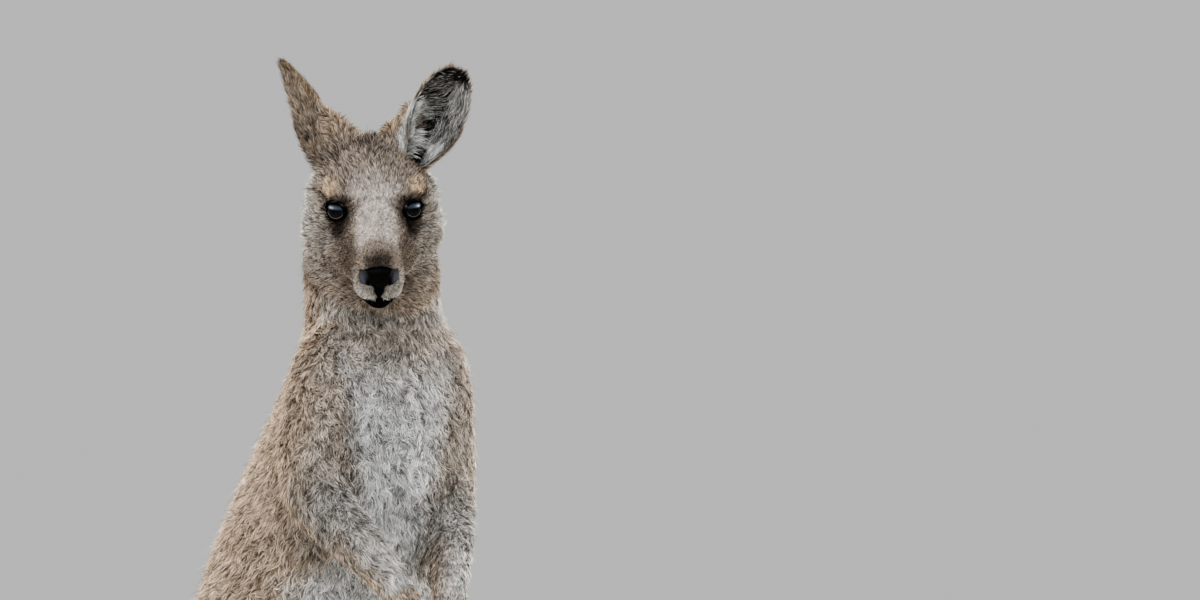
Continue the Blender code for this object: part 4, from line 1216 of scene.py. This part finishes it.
# %% The nose pad and its leather
CELL_SCALE = 1500.0               # cells of leather in a metre
nose_finish = Finish("nose_leather", Base_Color=(0.010, 0.009, 0.009), Specular_IOR_Level=0.02)
leather = nose_finish.node("TexCoord", out="Object")
sockets = {"Vector": leather, "Scale": CELL_SCALE}
cells = nose_finish.node("TexVoronoi", {"feature": "DISTANCE_TO_EDGE"}, sockets)
grain = nose_finish.noise(leather, 260.0, 3.0)
nose_finish.give("Roughness", 0.40 + grain * 0.20)
black = nose_finish.mix(grain, (0.0004, 0.0004, 0.0005), (0.0014, 0.0012, 0.0012))
# painted sheen: the lobes beside the nostrils are painted bluish grey, as the shine of the sky on them
nose_finish.give("Base Color", nose_finish.mix(nose_finish.read("wing"), black, (0.036, 0.038, 0.050)))
nose_finish.give("Normal", nose_finish.bump(cells.step(0.0, 0.25), 0.1 * MM, 0.30))
nose = round_form("nose_pad", 72, 144, pad, nose_finish)
off_middle = (in_head(points_of(nose)) - NOSE_AT) / (NOSE_RADII[0], 1.0, NOSE_RADII[2])
# where the painted sheen lies, round each lobe outside a nostril
sheen_lobe = np.hypot((abs(off_middle[:, 0]) - WING[0]) / 0.8, (off_middle[:, 2] - WING[1] - 0.1) / 1.4)
hold(nose.data, "wing", 1 - rise(sheen_lobe, 0.10, 0.40))
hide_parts("nose")
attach(nose, "root")
print("the nose pad is", 2 * NOSE_RADII[0], "cm wide")

# %% Claws
claw_finish = Finish("claw_horn", Coat_Weight=0.2)
horn = claw_finish.node("TexCoord", out="Object")
layers = claw_finish.noise(horn, 420.0, 4.0, 0.6)
claw_finish.give("Base Color", claw_finish.mix(layers, (0.018, 0.015, 0.013), (0.075, 0.064, 0.055)))
claw_finish.give("Roughness", 0.30 + layers * 0.25)
claw_finish.give("Normal", claw_finish.bump(layers, 0.2 * MM, 0.5))
claw_nodes = sorted(name for name in nodes if name.startswith("claw"))
horns = bmesh.new()
for name in claw_nodes:
    horns.from_mesh(nodes[name].data)
bmesh.ops.remove_doubles(horns, verts=horns.verts, dist=1e-6)
claw_mesh = bpy.data.meshes.new("claws")
horns.to_mesh(claw_mesh)
horns.free()
claws = bpy.data.objects.new("claws", claw_mesh)
bpy.context.scene.collection.objects.link(claws)
rounder = claws.modifiers.new("rounder", "SUBSURF")
rounder.levels = rounder.render_levels = 2
applied(claws)
claws.data.materials.append(claw_finish.material)
claws.data.shade_smooth()
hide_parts(*claw_nodes)
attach(claws, "root")
print(len(claw_nodes), "claws are rounded")

# %% [markdown]
# ## The coat
#
# A tuft is a flat lance of five points: it leaves the skin steeply, bends at its
# middle and ends in a tip that lies along the body. Hundreds of thousands of them
# overlap. They are drawn all at once with arrays: roots are spread evenly over the
# skin's triangles, directions wander a little, and tips close up into clumps.
# A lance turned at random about its own line still shows where the body turns away,
# and its normals lean towards the skin's, which keeps the light soft.

# %% Where the hair parts round the eyes
for word, sign in SIDES.items():
    centre = from_head([np.array(EYE_PLACE) * (sign, 1, 1)])[0]
    away, share = round_eye(at, sign)[2:]
    pull = (1 - rise(share, 1.5, 2.9)) * (away < EYE_REACH) * on_head
    lie += (unit(skin - centre) + unit(lies["head"]) * 0.25 - lie) * pull[:, None]
lie -= normal * (lie * normal).sum(axis=1, keepdims=True)
lie = unit(lie)
fringe = lower_margin * edge
standing = sizes[:, 1] / sizes[:, 0] + 0.22 * ear_bowl + 0.45 * crest + 0.10 * ear_back + 0.40 * fringe
longer = 0.8 * ear_bowl * (1 - rise(ear_height, 0.65, 0.9)) + 0.2 * edge + 1.1 * crest + 0.25 * ear_back
sizes[:, 0] *= (1 + longer) * (1 + 1.4 * fringe)
sizes[:, 2] *= 1 - 0.35 * ear_bowl
cover = sizes[:, 3] * (1 - rise(relaxed(bare, 1), 0.25, 0.7)) * (1 - 0.20 * ear_bowl)
print("hair parts round the eyes")

# %% The unwrap, and the mesh of a piece
MOST_TUFTS = 66000                # so that a piece stays under 200,000 triangles
PATCH = 0.0015                    # half the size of a tuft's patch on the unwrap
BEND = 0.5                        # where a tuft bends, as a share of its length
OVER_FLOOR = 0.2 * MM             # how far the lowest hairs stay above the floor
LOCK = 12                         # tufts in a lock, which share their curl
GUARD_HAIRS = 0.10                # share of longer, thinner hairs that stand out


def unwrap(chosen):
    """Each chosen triangle's corners on an unwrap of the skin's own shape."""
    used, numbers = np.unique(faces[chosen], return_inverse=True)
    mesh = bpy.data.meshes.new("sheet")
    mesh.from_pydata(skin[used], [], numbers.reshape(-1, 3).tolist())
    item = bpy.data.objects.new("sheet", mesh)
    bpy.context.scene.collection.objects.link(item)
    bpy.ops.object.select_all(action="DESELECT")
    item.select_set(True)
    bpy.context.view_layer.objects.active = item
    bpy.ops.object.mode_set(mode="EDIT")
    bpy.ops.mesh.select_all(action="SELECT")
    bpy.ops.uv.smart_project(angle_limit=math.radians(66), island_margin=0.004)
    bpy.ops.object.mode_set(mode="OBJECT")
    flat = np.empty(len(mesh.loops) * 2)
    mesh.uv_layers.active.data.foreach_get("uv", flat)
    bpy.data.objects.remove(item, do_unlink=True)
    return flat.reshape(-1, 3, 2)


def blades(name, root, path, half, soft, middles, marks):
    """Lances along paths of start, bend and tip, with what their finish reads."""
    total = len(root)
    start, bend, tip = path
    points = np.stack([start - half, start + half, bend + half * 0.8, bend - half * 0.8, tip], axis=1)
    points[:, :, 2] = np.maximum(points[:, :, 2], OVER_FLOOR)
    corner = np.arange(total)[:, None] * 5
    turned = (np.cross(points[:, 1] - points[:, 0], points[:, 2] - points[:, 0]) * soft).sum(axis=1) < 0
    plain, flipped = np.array([0, 1, 2, 3, 3, 2, 4]), np.array([1, 0, 3, 2, 2, 3, 4])
    loops = corner + np.where(turned[:, None], flipped, plain)
    mesh = bpy.data.meshes.new(name)
    mesh.vertices.add(total * 5)
    mesh.vertices.foreach_set("co", points.astype(np.float32).ravel())
    mesh.loops.add(total * 7)
    mesh.loops.foreach_set("vertex_index", loops.astype(np.int32).ravel())
    mesh.polygons.add(total * 2)
    begins = np.arange(total)[:, None] * 7 + (0, 4)
    mesh.polygons.foreach_set("loop_start", begins.astype(np.int32).ravel())
    mesh.update(calc_edges=True)
    mesh.shade_smooth()
    mesh.normals_split_custom_set_from_vertices(np.repeat(soft, 5, axis=0))
    hold(mesh, "root", np.repeat(root, 5, axis=0), "FLOAT_VECTOR")
    hold(mesh, "along", np.tile((0.0, 0.0, BEND, BEND, 1.0), total))
    for mark, values in marks.items():
        hold(mesh, mark, np.repeat(values, 5))
    patch = np.array([(-1, -1), (1, -1), (0.8, 0), (-0.8, 0), (0, 1)]) * PATCH
    spots = (middles[:, None] + patch).reshape(-1, 2)
    layer = mesh.uv_layers.new(name="OFBake")
    layer.data.foreach_set("uv", spots[loops.ravel()].astype(np.float32).ravel())
    mesh.materials.append(coat_finish.material)
    made = bpy.data.objects.new(name, mesh)
    bpy.context.scene.collection.objects.link(made)
    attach(made, "root")
    return made


print("a piece of coat has at most", MOST_TUFTS, "tufts")

# %% Roots, and the locks that they form
class Roots:
    """Places for tufts, spread evenly over chosen triangles of the skin."""

    def __init__(self, chosen):
        corners = skin[faces[chosen]]
        sides = np.cross(corners[:, 1] - corners[:, 0], corners[:, 2] - corners[:, 0])
        areas = np.linalg.norm(sides, axis=1) / 2 / MM**2
        length, width, covers = (
            values[faces[chosen]].mean(axis=1) for values in (sizes[:, 0], sizes[:, 2], cover)
        )
        expected = areas * covers * 2 / (length * width)
        self.chosen, self.asked = chosen, int(expected.sum())
        self.total = min(self.asked, MOST_TUFTS)
        reach = np.cumsum(expected) / expected.sum()
        pick = np.searchsorted(reach, (np.arange(self.total) + chance.random(self.total)) / self.total)
        self.pick = np.minimum(pick, len(chosen) - 1)
        a, b = chance.random(self.total), chance.random(self.total)
        over = a + b > 1
        a[over], b[over] = 1 - a[over], 1 - b[over]
        self.share = np.stack([1 - a - b, a, b], axis=1)

    def read(self, values):
        """The skin's values at the roots."""
        picked = values[faces[self.chosen[self.pick]]]
        share = self.share[:, :, None] if picked.ndim == 3 else self.share
        return (picked * share).sum(axis=1)

    def middles(self):
        """The roots' places on the unwrap."""
        return (unwrap(self.chosen)[self.pick] * self.share[:, :, None]).sum(axis=1)


def locks(root):
    """For each root, the number of the tuft that leads its lock."""
    leaders = chance.choice(len(root), max(1, len(root) // LOCK), replace=False)
    tree = KDTree(len(leaders))
    for i, leader in enumerate(leaders):
        tree.insert(root[leader], i)
    tree.balance()
    return leaders[np.array([tree.find(point)[1] for point in root])]


print("a lock has about", LOCK, "tufts")

# %% The path of each tuft
GUARD_LONGER, GUARD_THINNER, GUARD_STANDS = 1.25, 0.6, 0.12
DEEP = 0.3 * MM                   # how far a root sits in the skin


def paths(roots, root, length, stand, guard, follows):
    """Start, bend and tip of each tuft."""
    total, up_from, curl = len(root), unit(roots.read(normal)), roots.read(sizes[:, 4])
    lay = roots.read(lie)
    lay = unit(lay - up_from * (lay * up_from).sum(axis=1, keepdims=True))
    beside = np.cross(up_from, lay)
    swing = 0.25 * wander(root, 0.030, 21) + (0.12 + 0.5 * curl) * wander(root, 0.011, 22)
    swing += (chance.normal(size=total) * 0.35)[follows] * curl
    swing += chance.normal(size=total) * (0.10 + 0.22 * curl)
    turn = (chance.normal(size=total) * 0.9)[follows] * curl
    turn += chance.normal(size=total) * 0.30 * curl

    def towards(angle, rising):
        """A direction at an angle to the lie of the coat, that rises from the skin."""
        along_skin = lay * np.cos(angle)[:, None] + beside * np.sin(angle)[:, None]
        return along_skin * np.sqrt(1 - rising**2)[:, None] + up_from * rising[:, None]

    steep = np.clip(stand * 1.35 * chance.uniform(0.7, 1.3, total), 0.05, 0.9)
    shallow = np.clip(stand * 0.65 * chance.uniform(0.4, 1.5, total), 0.0, 0.8)
    start, long = root - up_from * DEEP, length[:, None]
    bend = start + towards(swing - turn / 2, steep) * long * BEND
    tip = bend + towards(swing + turn / 2, shallow) * long * (1 - BEND)
    pull = (tip[follows] - tip) * chance.uniform(0.1, 0.5, total)[:, None] * ~guard[:, None]
    far = np.maximum(np.linalg.norm(pull, axis=1, keepdims=True), 1e-9)
    pull *= np.minimum(1.0, 0.5 * long / far)
    return start, bend + pull * 0.35, tip + pull


def turned(start, tip, up_from):
    """Across each tuft, and the soft normal of its flat side, at a random turn."""
    line = unit(tip - start)
    flat = unit(np.cross(line, up_from))
    roll = np.clip(chance.normal(scale=0.6, size=len(line)), -1.2, 1.2)[:, None]
    flat = flat * np.cos(roll) + np.cross(line, flat) * np.sin(roll)
    facing = np.cross(flat, line)
    facing *= np.sign((facing * up_from).sum(axis=1, keepdims=True))
    return flat, unit(facing * 0.55 + up_from * 0.45)


print("a tuft bends at", BEND, "of its length")

# %% What each tuft carries for its finish
def marks_of(roots, follows):
    """The masks at the roots, a little mixed where two colours meet, and three random marks."""
    total = roots.total
    marked = {mask: roots.read(values) for mask, values in masks.items()}
    for mask, values in marked.items():
        spread = 1.1 * values * (1 - values)
        marked[mask] = np.clip(values + spread * chance.normal(size=total), 0, 1)
    inside = roots.read(ear_bowl) > 0.35
    pale_hair = chance.random(total) < roots.read(masks["white"])
    pale_share = pale_hair * (0.30 + 0.70 * roots.read(ear_margin))
    marked["white"] = np.where(inside, pale_share, marked["white"])
    marked["black"] = np.where(inside, np.where(pale_hair, 0.0, 0.97), marked["black"])
    marked["grey"] = np.maximum(marked["grey"], inside & pale_hair)
    marked["luck"] = chance.random(total)
    marked["clump"] = chance.random(total)[follows]
    return marked


def coat(name, chosen):
    """A piece of coat on the chosen triangles of the skin."""
    roots = Roots(np.flatnonzero(chosen & ~opened))
    root, up_from, total = roots.read(skin), unit(roots.read(normal)), roots.total
    guard = chance.random(total) < GUARD_HAIRS
    length = roots.read(sizes[:, 0]) * MM * chance.uniform(0.72, 1.25, total)
    length *= np.where(guard, GUARD_LONGER, 1.0)
    width = roots.read(sizes[:, 2]) * MM * chance.uniform(0.7, 1.3, total)
    width *= np.where(guard, GUARD_THINNER, 1.0)
    stand = roots.read(standing) + guard * GUARD_STANDS
    follows = locks(root)
    path = paths(roots, root, length, stand, guard, follows)
    flat, soft = turned(path[0], path[2], up_from)
    half = flat * (width / 2)[:, None]
    marks = marks_of(roots, follows)
    blades(name, root, path, half, soft, roots.middles(), marks)
    print(f"{name}: {total} tufts of {roots.asked} asked, {total * 3} triangles")


# %% Grow the coat, piece by piece
face_owner = owner[faces[:, 0]]
kinds = np.array([kind_of(name) for name in face_owner])
to_front = forward[faces[:, 0]] > 0.2
skull = np.isin(kinds, ("head", "lower_jaw"))
COAT_PIECES = {
    "coat_face": skull & to_front,
    "coat_crown": skull & ~to_front,
    "coat_ears": kinds == "ear",
    "coat_neck": kinds == "neck",
    "coat_chest": kinds == "chest",
    "coat_abdomen": kinds == "abdomen",
    "coat_tail": np.isin(kinds, ("tail_base", "tail_middle", "tail_tip")),
}
for word in SIDES:
    mine = np.array([name.endswith(word) for name in face_owner])
    COAT_PIECES["coat_arm_" + word] = np.isin(kinds, ("upper_arm", "forearm", "hand")) & mine
    COAT_PIECES["coat_thigh_" + word] = (kinds == "thigh") & mine
    COAT_PIECES["coat_leg_" + word] = np.isin(kinds, ("shank", "foot")) & mine
for name, chosen in COAT_PIECES.items():
    coat(name, chosen)

# %% [markdown]
# ## Lashes and whiskers
#
# A kangaroo has thick black lashes on its upper lids, longest at the outer corner, and
# a few thin whiskers in rows on its lips. They are single hairs, so each is placed on
# its own line, and they use the tufts' mesh with no lock and no random turn.

# %% Lashes and whiskers
LASHES, LASH_WIDTH = 220, 0.060   # on each upper lid, and width in centimetres
LASH_LENGTH, LASH_LONGER = 0.24, 0.34               # at the inner corner, and how much more outside
WHISKERS, WHISKER_WIDTH = 18, 0.016                 # on each side of the lip
WHISKER_LENGTHS = (1.2, 2.4)
WHISKER_BED = (1.4, (4.9, 6.8), (-3.4, -2.1))       # side, and the spans forward and up


def lashes(sign):
    """Roots on the edge of an upper lid, ways out, ways to the tips and lengths, in the head's axes."""
    axes, centre = eye_axes(sign), np.array(EYE_PLACE) * (sign, 1, 1)
    turn = (np.arange(LASHES) + chance.random(LASHES)) / LASHES * 0.97 * math.pi
    along, across = np.cos(turn) * OPENING[0] * 1.02, np.sin(turn) * OPENING[1] * 1.02
    far = np.hypot(along, across)
    flat = np.stack([along, across], axis=1) * (np.sin(far / EYE_RADIUS) / far)[:, None]
    out = flat @ axes[:2] + np.cos(far / EYE_RADIUS)[:, None] * axes[2]
    outer = rise(np.cos(turn), -0.7, 1.0)[:, None]
    first = out + axes[0] * (0.1 + 0.9 * outer) - axes[1] * 0.30
    first = unit(first + chance.normal(scale=0.08, size=(LASHES, 3)))
    last = unit(first + axes[0] * 0.4 * outer + axes[1] * 0.25)
    length = LASH_LENGTH + LASH_LONGER * outer[:, 0] * chance.uniform(0.7, 1, LASHES)
    return centre + out * (EYE_RADIUS + LID_OVER + 0.01), first, last, length


def whiskers(sign):
    """The same for long hairs in rows on the side of the lip."""
    beside, ahead, above = WHISKER_BED
    place = [np.full(WHISKERS, beside * sign)]
    place += [chance.uniform(*span, WHISKERS) for span in (ahead, above)]
    tree = KDTree(len(skin))
    for i, point in enumerate(at):
        tree.insert(point, i)
    tree.balance()
    near = np.array([tree.find(point)[1] for point in np.stack(place, axis=1)])
    first = unit(np.array((sign * 0.9, -0.25, -0.15)) + chance.normal(scale=0.15, size=(WHISKERS, 3)))
    last = unit(first + (0, -0.35, -0.3))
    return at[near], first, last, chance.uniform(*WHISKER_LENGTHS, WHISKERS)


rows = [make(sign) for make in (lashes, whiskers) for sign in SIDES.values()]
root, first, last, length = (np.concatenate(column) for column in zip(*rows))
is_lash = np.arange(len(root)) < 2 * LASHES
bend = root + first * length[:, None] / 2
tip = bend + last * length[:, None] / 2
width = np.where(is_lash, LASH_WIDTH, WHISKER_WIDTH)[:, None]
half = unit(np.cross(first, from_head([(0, 0, 1)])[0] - head_origin)) * width / 2
path = [from_head(points) for points in (root, bend, tip)]
face_piece = np.flatnonzero(COAT_PIECES["coat_face"] & ~opened)
nearest = BVHTree.FromPolygons(skin.tolist(), faces[face_piece].tolist())
middles = unwrap(face_piece)[[nearest.find_nearest(point)[2] for point in path[0]]].mean(axis=1)
marks = {name: np.zeros(len(root)) for name in (*masks, "luck")}
marks["black"] = np.where(is_lash, 1.0, 0.6)
marks["clump"] = np.full(len(root), 0.5)
half = from_head(half) - head_origin
blades("lashes_and_whiskers", path[0], path, half, unit(first @ head_axes), middles, marks)
print(len(root), "lashes and whiskers")

# %% Close the lesson
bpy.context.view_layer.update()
